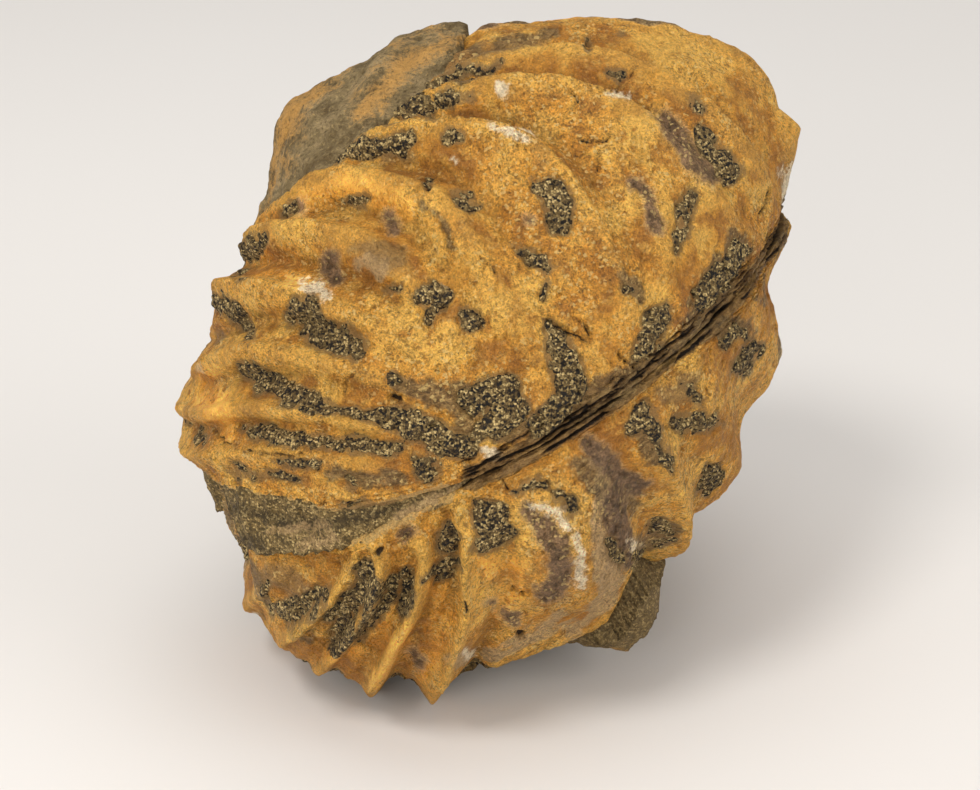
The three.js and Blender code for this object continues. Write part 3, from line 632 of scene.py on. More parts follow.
class Valve:
    """One valve's surface: radius and markings at any direction."""

    def __init__(self, edge, ribs, level, relief, side, seed):
        self.low, self.high = edge_sides(edge)
        self.ribs, self.level, self.relief = ribs, level, relief
        self.side, self.seed = side, seed  # the side is 1 above the seam and -1 below it
        self.seam = self.low if side > 0 else self.high
        self.cracks = SEAM_CRACKS if side > 0 else SEAM_CRACKS[:1]
        self.seam_scale = 1 if side > 0 else 3  # the muddy band is narrower on the lower valve

    def seam_cracks(self, points, turn, from_seam):
        """The distance to the nearest of the cracks that run along the seam."""
        away = np.maximum(SEAM_CRACKED[0] - turn, turn - SEAM_CRACKED[1])
        nearest = np.full(len(points), np.inf)
        for number, (place, wander, half) in enumerate(self.cracks):
            line = np.abs(from_seam - place - wander * rough(points, 1.9, self.seed + 50 + number)) - half
            broken = 0.5 * smoothstep(0.15, -0.3, noise(points, 3.4, self.seed + 55 + number))
            nearest = np.minimum(nearest, line + broken + smoothstep(0, CRACK_FADE, away))
        return nearest

    def measure(self, dirs):
        """The radius of the shell, and the fields that colour it, in millimetres."""
        ribs, furrow = ribbed(self.ribs, dirs)
        radius = body_radius(dirs) + self.level + self.relief * (ribs - furrow)
        points = dirs * radius[:, None]
        turn, rise = angles(dirs)
        from_seam = np.radians(self.side * (rise - np.interp(turn, *self.seam))) * radius
        radius += fine_relief(points, self.seed)
        flake = from_seam / FLAKE_STEP + 0.9 * rough(points, 4.0, self.seed + 40)
        band = bell(np.maximum(from_seam, 0) / SEAM_FLAKES)
        radius -= band * FLAKE_HEIGHT * (flake - np.floor(flake))
        furrows = 2.4 * rough(points, 9.0, self.seed + 60, 2) + 1.6 * furrow - 1.4 * ribs - 0.8
        trace = Traced(dirs, points)
        sand = trace.marked(SAND_STROKES, furrows) + 0.3 * rough(points, 1.6, self.seed + 70)
        radius -= SAND_SINK * smoothstep(-0.7, 0.2, sand)
        cord = trace.marked(CORD_STROKES, wander=0.3)
        radius += CORD_HEIGHT * smoothstep(-0.5, 0.4, cord)
        crack = -trace.marked(CRACK_STROKES, wander=0.4)
        crack = np.minimum(crack, self.seam_cracks(points, turn, from_seam))
        radius -= CRACK_DEPTH * (bell(np.maximum(crack, 0) / CRACK_WIDTH) + smoothstep(0.05, -0.15, crack))
        hole = trace.marked(HOLE_STROKES, wander=0.2)
        radius -= HOLE_DEPTH * smoothstep(-0.35, 0.3, hole)
        first, last = SEAM_CRACKED
        closed = smoothstep(first - SEAM_FADE, first, turn) * smoothstep(last + SEAM_FADE, last, turn)
        return radius, {
            "seam": from_seam * self.seam_scale + FAR_INSIDE * (1 - closed),
            "rim": from_seam + FAR_INSIDE * closed,
            "sand": sand,
            "crack": np.minimum(crack, 0.15 - hole),
            "cord": cord,
            "across": from_seam,
            "along": np.radians(turn) * AROUND,
        }

    def stains_and_painted_light(self, dirs, points):
        """Millimetres inside each kind of stain, and inside the strokes of painted light."""
        fields, trace = {}, Traced(dirs, points)
        for key, strokes in STAINS_AND_PAINTED_LIGHT.items():
            elsewhere = 3.2 * rough(points, 10.0, self.seed + 7 * len(key)) - 2.2
            fields[key] = trace.marked(strokes, elsewhere)
        return fields


upper = Valve(UPPER_EDGE, upper_ribs, UPPER_LEVEL, UPPER_RELIEF, 1, 100)
lower = Valve(LOWER_EDGE, lower_ribs, LOWER_LEVEL, LOWER_RELIEF, -1, 300)


def rock_radius(dirs):
    turn, rise = angles(dirs)
    along = smoothstep(0, CHANNEL_FADE, CHANNEL_HALF - np.abs(turn - CHANNEL_MIDDLE))
    channel = CHANNEL_DEPTH * bell(rise / CHANNEL_WIDTH) * along
    return body_radius(dirs) + ROCK_LEVEL + swell_height(ROCK_SWELLS, dirs) - channel


# ---------------------------------------------------------------- meshes
def placed(name, data, place=(0, 0, 0), facing=None):
    """A new object in the scene, with its -Z axis turned along `facing`."""
    item = bpy.data.objects.new(name, data)
    bpy.context.scene.collection.objects.link(item)
    item.location = place
    if facing is not None:
        item.rotation_mode = "QUATERNION"
        item.rotation_quaternion = Vector(facing).to_track_quat("-Z", "Y")
    return item


def make_piece(name, points, faces, attributes, node_name, material):
    """A smooth mesh object from places in millimetres, riding on the fossil's one body."""
    mesh = bpy.data.meshes.new(name)
    mesh.from_pydata(((points + CENTRE) * METRES).tolist(), [], faces)
    for key, values in attributes.items():
        mesh.attributes.new(key, "FLOAT", "POINT").data.foreach_set("value", values.astype(np.float32))
    mesh.shade_smooth()
    mesh.materials.append(material)
    piece = placed(name, mesh)
    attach(piece, "root")
    if node_name:
        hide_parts(node_name)


def spaced(start, end, count, crowd):
    """Numbers from start to end, closer together at both ends over `crowd` of the way."""
    s = np.linspace(-1, 1, count)
    ends = 1 - np.abs(s)
    eased = np.where(ends < crowd, ends**2 / (2 * crowd), ends - crowd / 2) / (1 - crowd / 2)
    return start + (end - start) * (0.5 + 0.5 * np.sign(s) * (1 - eased))


def blurred(grid, cells):
    """The grid averaged over a square of cells either side."""
    width = 2 * cells + 1
    for axis in (0, 1):
        padded = np.pad(grid, [(cells + 1, cells) if a == axis else (0, 0) for a in (0, 1)], mode="edge")
        total = np.cumsum(padded, axis=axis)
        count = total.shape[axis]
        grid = (total.take(range(width, count), axis) - total.take(range(count - width), axis)) / width
    return grid


def ring_faces(rings, count, first=0):
    """The faces between rings of `count` points each, the first ring starting at point `first`."""
    i, j = np.meshgrid(np.arange(rings - 1), np.arange(count), indexing="ij")
    after = (j + 1) % count
    near, far = first + i * count, first + (i + 1) * count
    return np.stack([near + j, far + j, far + after, near + after], axis=-1).reshape(-1, 4).tolist()


VALVE_COLUMNS, VALVE_ROWS = 560, 140
END_CROWD = 0.06  # share of the columns that crowd together at either end of a valve
WALL_ROWS, INNER_ROWS = 6, 8
HOLLOW_CELLS = 8  # over which the surface is averaged to find its hollows
SEAM_ROWS, SEAM_BAND = 24, 4.0  # rows in the first degrees next to the seam
SEAM_BAND_SHARE = 0.25  # of the rows' length that the band takes at most
EDGE_JAG, JAG_SIZE = 0.3, 3.0  # degrees that the broken edges wander, and the size of their teeth
JAG_SPAN = 4  # degrees between the edges below which the wander fades
SEAM_CLOSING = 0.8  # degrees that each valve's edge reaches further here than in the CAD model
EDGE_DEPTH, EDGE_WIDTH, EDGE_RADIUS = 0.45, 0.5, 42  # rounding of the edges, and the radius there
THINNEST = 0.3  # of the shell's wall


def valve_grid(valve, columns, rows):
    """Turns of the columns, rises of their rows, and each place's distance from the nearest edge."""
    turns = spaced(valve.low[0][0], valve.low[0][-1], columns, END_CROWD)
    low, high = np.interp(turns, *valve.low), np.interp(turns, *valve.high)
    rim = direction(turns, low if valve.side > 0 else high) * AROUND
    jag = EDGE_JAG * rough(rim, JAG_SIZE, valve.seed + 80) * np.minimum(high - low, JAG_SPAN) / JAG_SPAN
    if valve.side > 0:
        low = low + jag - SEAM_CLOSING
    else:
        high = high + jag + SEAM_CLOSING
    low, span = low[:, None], (high - low)[:, None]
    seam_rows = int(SEAM_ROWS * DETAIL)
    band = np.minimum(SEAM_BAND / np.maximum(span, 1e-6), SEAM_BAND_SHARE)
    near = np.linspace(0, 1, seam_rows, endpoint=False) * band
    share = np.hstack([near, band + np.linspace(0, 1, rows - seam_rows) * (1 - band)])
    if valve.side < 0:
        share = 1 - share[:, ::-1]
    to_edge = np.radians(np.minimum(share, 1 - share) * span) * EDGE_RADIUS
    return np.repeat(turns[:, None], rows, axis=1), low + share * span, to_edge


def valve_piece(name, valve, node_name, material):
    """A valve as a closed shell: outside, wall, inside and wall, in one ring for each column."""
    columns, rows = int(VALVE_COLUMNS * DETAIL), int(VALVE_ROWS * DETAIL)
    turn, rise, to_edge = valve_grid(valve, columns, rows)
    dirs = direction(turn, rise)
    radius, fields = valve.measure(dirs.reshape(-1, 3))
    fields = {key: value.reshape(columns, rows) for key, value in fields.items()}
    inner = body_radius(dirs) - SHELL_THICKNESS
    radius = np.maximum(radius.reshape(columns, rows), inner + THINNEST)
    radius -= EDGE_DEPTH * bell(to_edge / EDGE_WIDTH)
    cells = int(HOLLOW_CELLS * DETAIL)
    # How far each place lies below the averaged surface; the shell's colour uses it to paint shade in the
    # hollows and light on the crests.
    fields["hollow"] = blurred(blurred(radius, cells), cells) - radius
    wall = np.linspace(0, 1, WALL_ROWS + 2)[1:-1]
    inside = np.linspace(rows - 1, 0, INNER_ROWS).astype(int)
    row = np.concatenate([np.arange(rows), np.full(WALL_ROWS, rows - 1), inside, np.zeros(WALL_ROWS, int)])
    depth = np.concatenate([np.zeros(rows), wall, np.ones(INNER_ROWS), wall[::-1]])
    radius = radius[:, row] * (1 - depth) + inner[:, row] * depth
    dirs = dirs[:, row].reshape(-1, 3)
    points = dirs * radius.reshape(-1, 1)
    attributes = {key: value[:, row].reshape(-1) for key, value in fields.items()}
    attributes["depth"] = np.tile(depth, columns)
    attributes.update(valve.stains_and_painted_light(dirs, points))
    ring = len(row)
    last = (columns - 1) * ring
    caps = [list(range(ring - 1, -1, -1)), list(range(last, last + ring))]
    faces = ring_faces(columns, ring) + caps
    make_piece(name, points, faces, attributes, node_name, material)


CRUST_STEP = 0.3  # degrees between a crust's points
CRUST_MARGIN, CRUST_END = 0.8, 2  # degrees that it keeps from the valve's edge, and from its two ends
CRUST_START = -0.25  # millimetres inside a sand patch where the crust starts
CRUST_DEPTH = 0.7  # of its underside below the shell's surface
CRUST_GRAIN = 0.8


def crust_height(points, sand, seed):
    """Height of the sand above the shell: a low mound with grains and lumps on it."""
    speck, own = grains(points, CRUST_GRAIN, seed + 110)
    height = 0.6 * smoothstep(-0.3, 0.8, sand) - 0.2
    height += (0.34 * (0.5 - speck) + 0.26 * (own - 0.5)) * smoothstep(-0.2, 0.4, sand)
    return height + 0.2 * rough(points, 1.8, seed + 120)


def crust_piece(name, valve, material):
    """Sand left on a valve: a skin that rises out of the shell inside its patches."""
    step = CRUST_STEP / DETAIL
    turns = np.arange(valve.low[0][0] + CRUST_END, valve.low[0][-1] - CRUST_END, step)
    low, high = np.interp(turns, *valve.low) + CRUST_MARGIN, np.interp(turns, *valve.high) - CRUST_MARGIN
    turn, rise = np.meshgrid(turns, np.arange(low.min(), high.max(), step), indexing="ij")
    within = (rise > low[:, None]) & (rise < high[:, None])
    index = np.full(turn.shape, -1)
    index[within] = np.arange(within.sum())
    dirs = direction(turn[within], rise[within])
    radius, fields = valve.measure(dirs)
    points = dirs * radius[:, None]
    sand = fields["sand"] + 0.35 * rough(points, 0.9, valve.seed + 95, 2)
    keep = np.full(turn.shape, False)
    keep[within] = sand > CRUST_START
    cell = keep[:-1, :-1] & keep[1:, :-1] & keep[:-1, 1:] & keep[1:, 1:]
    corners = np.stack([index[:-1, :-1], index[1:, :-1], index[1:, 1:], index[:-1, 1:]], axis=-1)[cell]
    used, faces = np.unique(corners, return_inverse=True)
    faces = faces.reshape(-1, 4)
    dirs, radius, sand = dirs[used], radius[used], sand[used]
    top = dirs * (radius + crust_height(points[used], sand, valve.seed))[:, None]
    bottom = dirs * (radius - CRUST_DEPTH)[:, None]
    count = len(used)
    edges = np.concatenate([faces[:, pair] for pair in ([0, 1], [1, 2], [2, 3], [3, 0])])
    _, first, times = np.unique(np.sort(edges, axis=1), axis=0, return_index=True, return_counts=True)
    rim = edges[first[times == 1]]
    walls = np.column_stack([rim[:, 1], rim[:, 0], rim[:, 0] + count, rim[:, 1] + count])
    faces = np.vstack([faces, faces[:, ::-1] + count, walls]).tolist()
    make_piece(name, np.vstack([top, bottom]), faces, {"sand": np.tile(sand, 2)}, None, material)


ROCK_RINGS, ROCK_FAR_RINGS, ROCK_SPOKES = 150, 30, 560
ROCK_MIDDLE = (-145.0, -10.0)  # turn and rise of the middle of the bare sandstone
ROCK_NEAR_ANGLE = 112.0  # degrees round that middle that get the fine rings
TUCK = 1.0  # degrees that the sandstone runs in under a valve's edge
CORE_GAP = 0.3  # between the sandstone and the inside of the shell
UNDERCUT, UNDERCUT_HEIGHT = 2.5, 3.5  # how far the foot draws in above the floor, and from what height
ROCK_WAVES = [(1.1, 9.0, 0, 3), (0.6, 3.6, 4, 3), (0.16, 0.9, 8, 1)]
ROCK_PIT_DEPTH = 0.5
LUMP_MIDDLE, LUMP_REACH = (6.0, -68.0), 17.0  # the dark lump below the right end
BARE_MIDDLE, BARE_REACH = (-150.0, 46.0), 62.0  # the smooth worn part of the sandstone


def inside_valve(valve, turn, rise):
    """Degrees inside a valve's edge, roughly."""
    low, high = np.interp(turn, *valve.low), np.interp(turn, *valve.high)
    ends = np.minimum(turn - valve.low[0][0], valve.low[0][-1] - turn)
    return np.minimum(np.minimum(rise - low, high - rise), ends)


def rock_directions(spokes):
    """Rings round the middle of the bare sandstone, with a point at either pole."""
    near = np.linspace(0, ROCK_NEAR_ANGLE, int(ROCK_RINGS * DETAIL), endpoint=False)
    far = np.linspace(ROCK_NEAR_ANGLE, 180, int(ROCK_FAR_RINGS * DETAIL))
    pole = direction(*ROCK_MIDDLE)
    east = unit(np.cross(seam_axes[:, 2], pole))
    north = np.cross(pole, east)
    bearings = np.linspace(0, 2 * np.pi, spokes, endpoint=False)
    angle, bearing = np.meshgrid(np.radians(np.concatenate([near, far])[1:-1]), bearings, indexing="ij")
    angle, bearing = angle.reshape(-1, 1), bearing.reshape(-1, 1)
    right, up = np.sin(angle) * np.cos(bearing), np.sin(angle) * np.sin(bearing)
    return np.vstack([pole, np.cos(angle) * pole + right * east + up * north, -pole])


def rock_relief(points, bare):
    """Lumps, grains and pits of the sandstone, with smaller grains where it is worn."""
    speck, own = grains(points, 0.75, 510)
    grain = 0.22 * (own - speck) * (1 - 0.8 * bare)
    return waves(points, ROCK_WAVES, 500) + grain - ROCK_PIT_DEPTH * pits(points, 1.8, 530, 0.72, 0.42)


def stand_on_floor(points):
    """Flattens the foot at the floor, and undercuts it just above."""
    floor = -CENTRE[2]
    sunk = points[:, 2] < floor
    points[sunk] *= (floor / points[sunk, 2])[:, None]
    outward = points[:, :2] - points[sunk][:, :2].mean(axis=0)
    outward /= np.maximum(np.linalg.norm(outward, axis=1, keepdims=True), 1e-6)
    points[:, :2] -= UNDERCUT * smoothstep(UNDERCUT_HEIGHT, 0, points[:, 2] - floor)[:, None] * outward


def rock_piece(name, node_name, material):
    spokes = int(ROCK_SPOKES * DETAIL)
    dirs = rock_directions(spokes)
    radius = rock_radius(dirs)
    bare = smoothstep(-4, 4, BARE_REACH - degrees_from(dirs, *BARE_MIDDLE))
    lump = smoothstep(-3, 3, LUMP_REACH - degrees_from(dirs, *LUMP_MIDDLE))
    radius += rock_relief(dirs * radius[:, None], bare)
    turn, rise = angles(dirs)
    covered = np.maximum(inside_valve(upper, turn, rise), inside_valve(lower, turn, rise))
    core = body_radius(dirs) - SHELL_THICKNESS - CORE_GAP
    radius = np.where(covered > TUCK, np.minimum(radius, core), radius)
    points = dirs * radius[:, None]
    stand_on_floor(points)
    last = len(dirs) - 1
    faces = ring_faces((last - 1) // spokes, spokes, first=1)
    faces += [[0, 1 + a, 1 + (a + 1) % spokes] for a in range(spokes)]
    faces += [[last, last - spokes + (a + 1) % spokes, last - spokes + a] for a in range(spokes)]
    trace = Traced(dirs, points)
    attributes = {
        "dark": trace.marked(GAPE_SHADE_STROKES),
        "pale": trace.marked(GAPE_PALE_STROKES, wander=0.4),
        "ochre": trace.marked(ROCK_OCHRE_STROKES, 2.6 * rough(points, 8.0, 520) - 1.2),
        "bare": np.maximum(bare, 0.5 * lump),
        "lump": lump,
    }
    make_piece(name, points, faces, attributes, node_name, material)


# ---------------------------------------------------------------- materials
class Shader:
    """A material whose nodes are added and linked in one line each."""

    def __init__(self, name):
        self.material = bpy.data.materials.new(name)
        self.material.use_nodes = True
        self.tree = self.material.node_tree
        self.tree.nodes.clear()
        self.place = self.add("ShaderNodeTexCoord").outputs["Object"]

    def add(self, kind, inputs=None, **settings):
        node = self.tree.nodes.new(kind)
        for key, value in settings.items():
            setattr(node, key, value)
        for key, value in (inputs or {}).items():
            self.feed(node.inputs[key], value)
        return node

    def feed(self, socket, value):
        if isinstance(value, bpy.types.NodeSocket):
            self.tree.links.new(value, socket)
        else:
            socket.default_value = value

    def attribute(self, name):
        return self.add("ShaderNodeAttribute", attribute_name=name).outputs["Fac"]

    def noise(self, millimetres, detail, roughness=0.55, place=None):
        inputs = {"Vector": place or self.place, "Scale": 1 / (millimetres * METRES)}
        inputs.update({"Detail": detail, "Roughness": roughness})
        return self.add("ShaderNodeTexNoise", inputs).outputs["Fac"]

    def cells(self, millimetres, output="Distance", feature="F1"):
        inputs = {"Vector": self.place, "Scale": 1 / (millimetres * METRES)}
        return self.add("ShaderNodeTexVoronoi", inputs, feature=feature).outputs[output]

    def cell_value(self, millimetres):
        """A number from 0 to 1 for each cell."""
        return self.add("ShaderNodeSeparateColor", {"Color": self.cells(millimetres, "Color")}).outputs["Red"]

    def dim(self, color, value):
        """The colour made lighter or darker by the value."""
        return self.add("ShaderNodeHueSaturation", {"Color": color, "Value": value}).outputs["Color"]

    def math(self, operation, a, b=0.0):
        return self.add("ShaderNodeMath", {0: a, 1: b}, operation=operation).outputs[0]

    def plus(self, a, b, share):
        """a, and the share of b."""
        return self.math("ADD", a, self.math("MULTIPLY", b, share))

    def half_and_half(self, a, b):
        return self.plus(self.math("MULTIPLY", a, 0.5), b, 0.5)

    def span(self, value, low, high):
        """0 at low and 1 at high, smoothly."""
        inputs = {"Value": value, "From Min": low, "From Max": high}
        return self.add("ShaderNodeMapRange", inputs, interpolation_type="SMOOTHSTEP").outputs["Result"]

    def mix(self, share, a, b):
        node = self.add("ShaderNodeMix", data_type="RGBA")
        self.feed(node.inputs[0], share)
        self.feed(node.inputs[6], a)
        self.feed(node.inputs[7], b)
        return node.outputs[2]

    def over(self, color, field, low, high, share, top, texture=None, wander=0.0):
        """The top colour where the field is past low, its edge broken up by the texture.

        The field is a socket or the name of an attribute.
        """
        if isinstance(field, str):
            field = self.attribute(field)
        if texture:
            field = self.plus(field, self.math("SUBTRACT", texture, 0.5), wander)
        return self.mix(self.math("MULTIPLY", self.span(field, low, high), share), color, top)

    def ramp(self, value, stops):
        node = self.add("ShaderNodeValToRGB", {"Fac": value})
        elements = node.color_ramp.elements
        for place, color in stops[:-2]:
            elements.new(place)
        for element, (place, color) in zip(elements, sorted(stops)):
            element.position = place
            element.color = color
        return node.outputs["Color"]

    def bump(self, height, millimetres, normal=None):
        inputs = {"Height": height, "Distance": millimetres * METRES, "Strength": 1.0}
        if normal:
            inputs["Normal"] = normal
        return self.add("ShaderNodeBump", inputs).outputs["Normal"]

    def finish(self, color, roughness, normal, specular=0.5):
        inputs = {"Base Color": color, "Roughness": roughness, "Normal": normal}
        inputs["Specular IOR Level"] = specular
        shader = self.add("ShaderNodeBsdfPrincipled", inputs)
        output = self.add("ShaderNodeOutputMaterial")
        self.tree.links.new(shader.outputs["BSDF"], output.inputs["Surface"])
        return self.material


def rgb(red, green, blue):
    """A colour from its display values, 0 to 255, as the linear one that a shader takes."""
    shares = np.array([red, green, blue]) / 255
    linear = np.where(shares <= 0.04045, shares / 12.92, ((shares + 0.055) / 1.055) ** 2.4)
    return (*linear.tolist(), 1.0)


OCHRE_DEEP = rgb(184, 120, 40)
OCHRE = rgb(222, 156, 58)
OCHRE_LIGHT = rgb(246, 190, 88)
RUST = rgb(166, 108, 42)
BROWN = rgb(112, 74, 30)
MUD_DARK = rgb(60, 45, 24)
MUD = rgb(122, 96, 58)
MUD_LIGHT = rgb(180, 148, 94)
CRACK = rgb(34, 22, 10)
PURPLE = rgb(144, 112, 82)
PURPLE_DARK = rgb(84, 64, 46)
WHITE = rgb(255, 234, 196)
TAN = rgb(200, 164, 114)
GLINT = rgb(250, 214, 136)
RIM = rgb(216, 182, 122)
DUST = rgb(152, 118, 70)
SAND_BLACK = rgb(26, 20, 11)
SAND_DARK = rgb(88, 68, 36)
SAND_OLIVE = rgb(118, 94, 52)
SAND_GREY = rgb(154, 128, 78)
SAND_TAN = rgb(224, 194, 130)
ROCK_SHADE = rgb(110, 90, 56)
ROCK_OLIVE = rgb(138, 118, 80)
ROCK_GREY = rgb(170, 146, 104)
ROCK_OCHRE = rgb(214, 158, 78)
ROCK_DARK = rgb(100, 78, 46)
GRAIN = 0.3  # size of a sand grain in millimetres
DOME = 0.25  # how far a grain's dome rises from its edge before it is flat, in grains
LAYER_STRETCH = 0.16  # of the seam's flaky layers: how much slower they change along it than across it


def shell_material(name, shift):
    s = Shader(name)
    broad = s.noise(9 + shift, 3)
    patchy = s.noise(4.5 + shift, 4, 0.6)
    middle = s.noise(2.0, 5, 0.66)
    fine = s.noise(0.8, 5, 0.74)
    grit = s.noise(0.26, 2, 0.75)
    chip = s.cell_value(0.34)
    coarse = s.span(s.plus(s.noise(11, 3), patchy, 0.4), 0.56, 0.78)  # 1 where the shell is grainy
    along = s.math("MULTIPLY", s.attribute("along"), LAYER_STRETCH * METRES)
    across = s.math("MULTIPLY", s.attribute("across"), METRES)
    plane = s.add("ShaderNodeCombineXYZ", {"X": along, "Y": across}).outputs["Vector"]
    layers = s.noise(0.7, 4, 0.7, place=plane)
    mud = s.ramp(s.half_and_half(layers, fine), [(0.38, MUD_DARK), (0.48, MUD), (0.62, MUD_LIGHT)])
    purple = s.mix(s.span(s.half_and_half(fine, middle), 0.4, 0.6), PURPLE_DARK, PURPLE)
    glints, specks = (s.plus(0.1, coarse, share) for share in (0.5, 0.4))

    color = s.ramp(broad, [(0.36, OCHRE_DEEP), (0.5, OCHRE), (0.62, OCHRE_LIGHT)])
    # Each coat: its field, where it starts and where it is full, its share and colour, and the texture that
    # breaks up its edge and by how much.
    for coat in [
        (patchy, 0.54, 0.66, 0.6, OCHRE_LIGHT),
        (patchy, 0.48, 0.36, 0.7, RUST),
        (middle, 0.52, 0.66, 0.5, OCHRE_LIGHT),
        (middle, 0.48, 0.34, 0.8, OCHRE_DEEP),
        # Painted light on the crests and painted shade in the hollows.
        ("hollow", -0.1, -0.7, 0.4, OCHRE_LIGHT, middle, 0.8),
        ("hollow", 0.1, 1.2, 0.3, BROWN, middle, 1.6),
        ("tan", -0.4, 0.4, 0.9, TAN, middle, 2.0),
        ("mud", -0.3, 0.5, 0.85, mud, middle, 3.0),
        ("dusty", -0.6, 0.6, 0.75, DUST, fine, 3.0),
        ("purple", -0.8, -0.2, 0.45, TAN, fine, 2.0),
        ("purple", -0.3, 0.3, 0.9, purple, fine, 2.6),
        ("cord", -0.3, 0.1, 0.7, OCHRE_LIGHT, fine, 1.0),
        # White streaks, and a painted highlight on one rib's top edge.
        ("white", -0.3, 0.5, 0.9, WHITE, fine, 3.0),
    ]:
        color = s.over(color, *coat)
    # Painted light and shade on the fine bumps: the colour is lighter where the fine and grit bump noises are
    # high and darker where they are low, most where the shell is grainy.
    relief = s.plus(s.math("MULTIPLY", fine, 0.5), grit, 0.6)
    contrast = s.plus(2.1, coarse, 1.9)
    bump_light_and_shade = s.plus(1.0, s.math("SUBTRACT", relief, 0.55), contrast)
    # The pale strokes paint light onto the shell here.
    color = s.dim(color, s.plus(bump_light_and_shade, s.span(s.attribute("pale"), -0.8, 0.8), 0.5))
    for coat in [
        (chip, 0.86, 0.94, glints, GLINT),
        (chip, 0.14, 0.05, specks, BROWN),
        # Painted shade in the low places of the fine bumps, which also reads as small dark specks.
        (fine, 0.38, 0.28, 0.55, BROWN),
        ("seam", 2.0, 0.9, 0.8, mud, fine, 3.0),
        ("rim", 0.3, 0.05, 0.6, RIM, fine, 1.6),
        ("sand", -0.5, 0.0, 0.8, DUST, fine, 2.4),
        ("crack", 0.4, 0.08, 0.4, BROWN, grit, 0.6),
        ("crack", 0.14, 0.02, 0.95, CRACK, grit, 0.25),
        ("depth", 0.02, 0.3, 0.9, CRACK),
    ]:
        color = s.over(color, *coat)
    muddy = s.math("MAXIMUM", s.span(s.attribute("mud"), -0.6, 0.6), s.span(s.attribute("seam"), 2.0, 0.8))
    normal = s.bump(middle, 1.2, s.bump(fine, 1.1, s.bump(grit, 0.5)))
    normal = s.bump(s.math("MULTIPLY", layers, muddy), 0.9, normal)
    return s.finish(color, s.plus(0.34, fine, 0.45), normal, 0.35)


def sand_grains(s):
    """The colour of sand grains with painted shade in the gaps between them, a fine texture, and the grains'
    domes.
    """
    gap = s.cells(GRAIN, feature="DISTANCE_TO_EDGE")
    fine = s.noise(0.6, 4, 0.7)
    value = s.plus(s.plus(fine, s.cell_value(GRAIN), 0.9), s.noise(3.0, 3, 0.6), 0.5)
    stops = [(0.44, SAND_BLACK), (0.5, SAND_DARK), (0.58, SAND_OLIVE), (0.7, SAND_GREY), (0.8, SAND_TAN)]
    # Painted shade in the gaps between the grains.
    color = s.over(s.ramp(s.math("MULTIPLY", value, 0.5), stops), gap, 0.1, 0.0, 0.7, SAND_BLACK)
    return color, fine, s.math("MINIMUM", gap, DOME)


def crust_material(name):
    s = Shader(name)
    color, fine, dome = sand_grains(s)
    return s.finish(color, 0.7, s.bump(fine, 0.7, s.bump(dome, 0.5)), 0.35)


def rock_material(name):
    s = Shader(name)
    grainy, fine, dome = sand_grains(s)
    soft = s.noise(4.0, 5, 0.68)
    grainy = s.mix(0.3, grainy, SAND_GREY)
    # Painted shade under the upper valve's edge.
    grainy = s.over(grainy, "dark", -0.8, 0.5, 0.55, SAND_BLACK)
    grainy = s.over(grainy, "pale", -0.6, 0.6, 0.6, TAN, fine, 4.0)
    smooth = s.ramp(soft, [(0.36, ROCK_SHADE), (0.48, ROCK_OLIVE), (0.62, ROCK_GREY)])
    # The lump is painted darker: partly its own darker sandstone, partly painted shade where it sits low
    # under the lower valve.
    smooth = s.mix(s.math("MULTIPLY", s.attribute("lump"), 0.6), smooth, ROCK_DARK)
    smooth = s.over(smooth, fine, 0.48, 0.32, 0.8, SAND_DARK)
    smooth = s.over(smooth, fine, 0.54, 0.7, 0.35, SAND_TAN)
    color = s.mix(s.attribute("bare"), grainy, smooth)
    stain = s.half_and_half(fine, soft)
    color = s.over(color, "ochre", -1.4, 1.4, 0.75, ROCK_OCHRE, stain, 14.0)
    normal = s.bump(soft, 1.6, s.bump(fine, 0.8, s.bump(dome, 0.3)))
    return s.finish(color, 0.75, normal, 0.3)


# ---------------------------------------------------------------- the fossil
upper_shell = shell_material("upper_shell_calcite", 0)
lower_shell = shell_material("lower_shell_calcite", 2)
crust_sand = crust_material("crust_sandstone")
rock_sand = rock_material("rock_sandstone")

valve_piece("upper_valve_shell", upper, "upper_valve", upper_shell)
valve_piece("lower_valve_shell", lower, "lower_valve", lower_shell)
crust_piece("upper_valve_sand", upper, crust_sand)
crust_piece("lower_valve_sand", lower, crust_sand)
rock_piece("rock_mass", "rock_matrix", rock_sand)

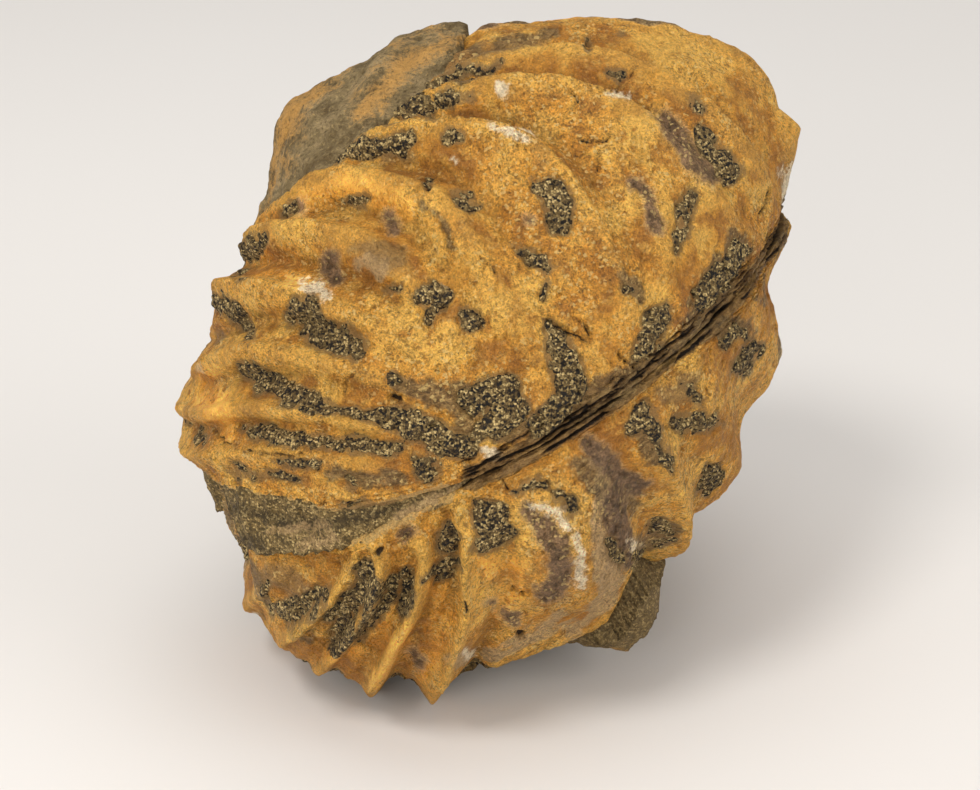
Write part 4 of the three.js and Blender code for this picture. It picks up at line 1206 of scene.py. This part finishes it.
# ---------------------------------------------------------------- stage, light and camera
FLOOR_SIZE = 4.0  # metres, as the places and sizes of the lights are
PAPER, PAPER_DARK = rgb(228, 225, 222), rgb(224, 220, 216)


def floor_piece():
    mesh = bpy.data.meshes.new("floor")
    half = FLOOR_SIZE / 2
    corners = [(-half, -half, 0), (half, -half, 0), (half, half, 0), (-half, half, 0)]
    mesh.from_pydata(corners, [], [(0, 1, 2, 3)])
    s = Shader("floor_paper")
    color = s.mix(s.noise(240, 2), PAPER, PAPER_DARK)
    mesh.materials.append(s.finish(color, 0.9, s.bump(s.noise(2, 2), 0.01)))
    placed("floor", mesh)


def area_light(name, place, aim, size, power, color):
    light = bpy.data.lights.new(name, "AREA")
    light.shape = "DISK"
    light.size = size
    light.energy = power
    light.color = color
    placed(name, light, place, Vector(aim) - Vector(place))


def world_light(color, strength):
    world = bpy.data.worlds.new("studio")
    world.use_nodes = True
    background = world.node_tree.nodes["Background"]
    background.inputs["Color"].default_value = color
    background.inputs["Strength"].default_value = strength
    bpy.context.scene.world = world


def camera():
    data = bpy.data.cameras.new("camera")
    data.sensor_fit = "HORIZONTAL"
    data.sensor_width = SENSOR_WIDTH
    data.lens = SENSOR_WIDTH * FOCAL_PIXELS / PICTURE_WIDTH
    data.clip_start, data.clip_end = 0.01, 10
    bpy.context.scene.camera = placed("camera", data, (eye + CENTRE) * METRES, -camera_back)


floor_piece()
WARM_WHITE = (1.0, 0.98, 0.95)
LIGHT_AIM = (0, 0, 0.04)
for light_name, light_place, light_size, power in [
    ("key", (-0.3, -0.4, 0.75), 0.25, 3.0),
    ("front", (-0.3, -1.1, 0.38), 0.6, 3.6),
    ("left", (-1.0, -0.7, 0.4), 1.6, 7.4),
    ("right", (0.95, -0.45, 0.4), 1.0, 5.6),
]:
    area_light(light_name, light_place, LIGHT_AIM, light_size, power, WARM_WHITE)
area_light("softbox", (0.0, 0.1, 0.85), (0, 0, 0), 0.8, 2.4, (1.0, 0.99, 0.97))
world_light((1.0, 0.985, 0.965, 1.0), 0.36)
camera()
bpy.context.scene.view_settings.view_transform = "Standard"
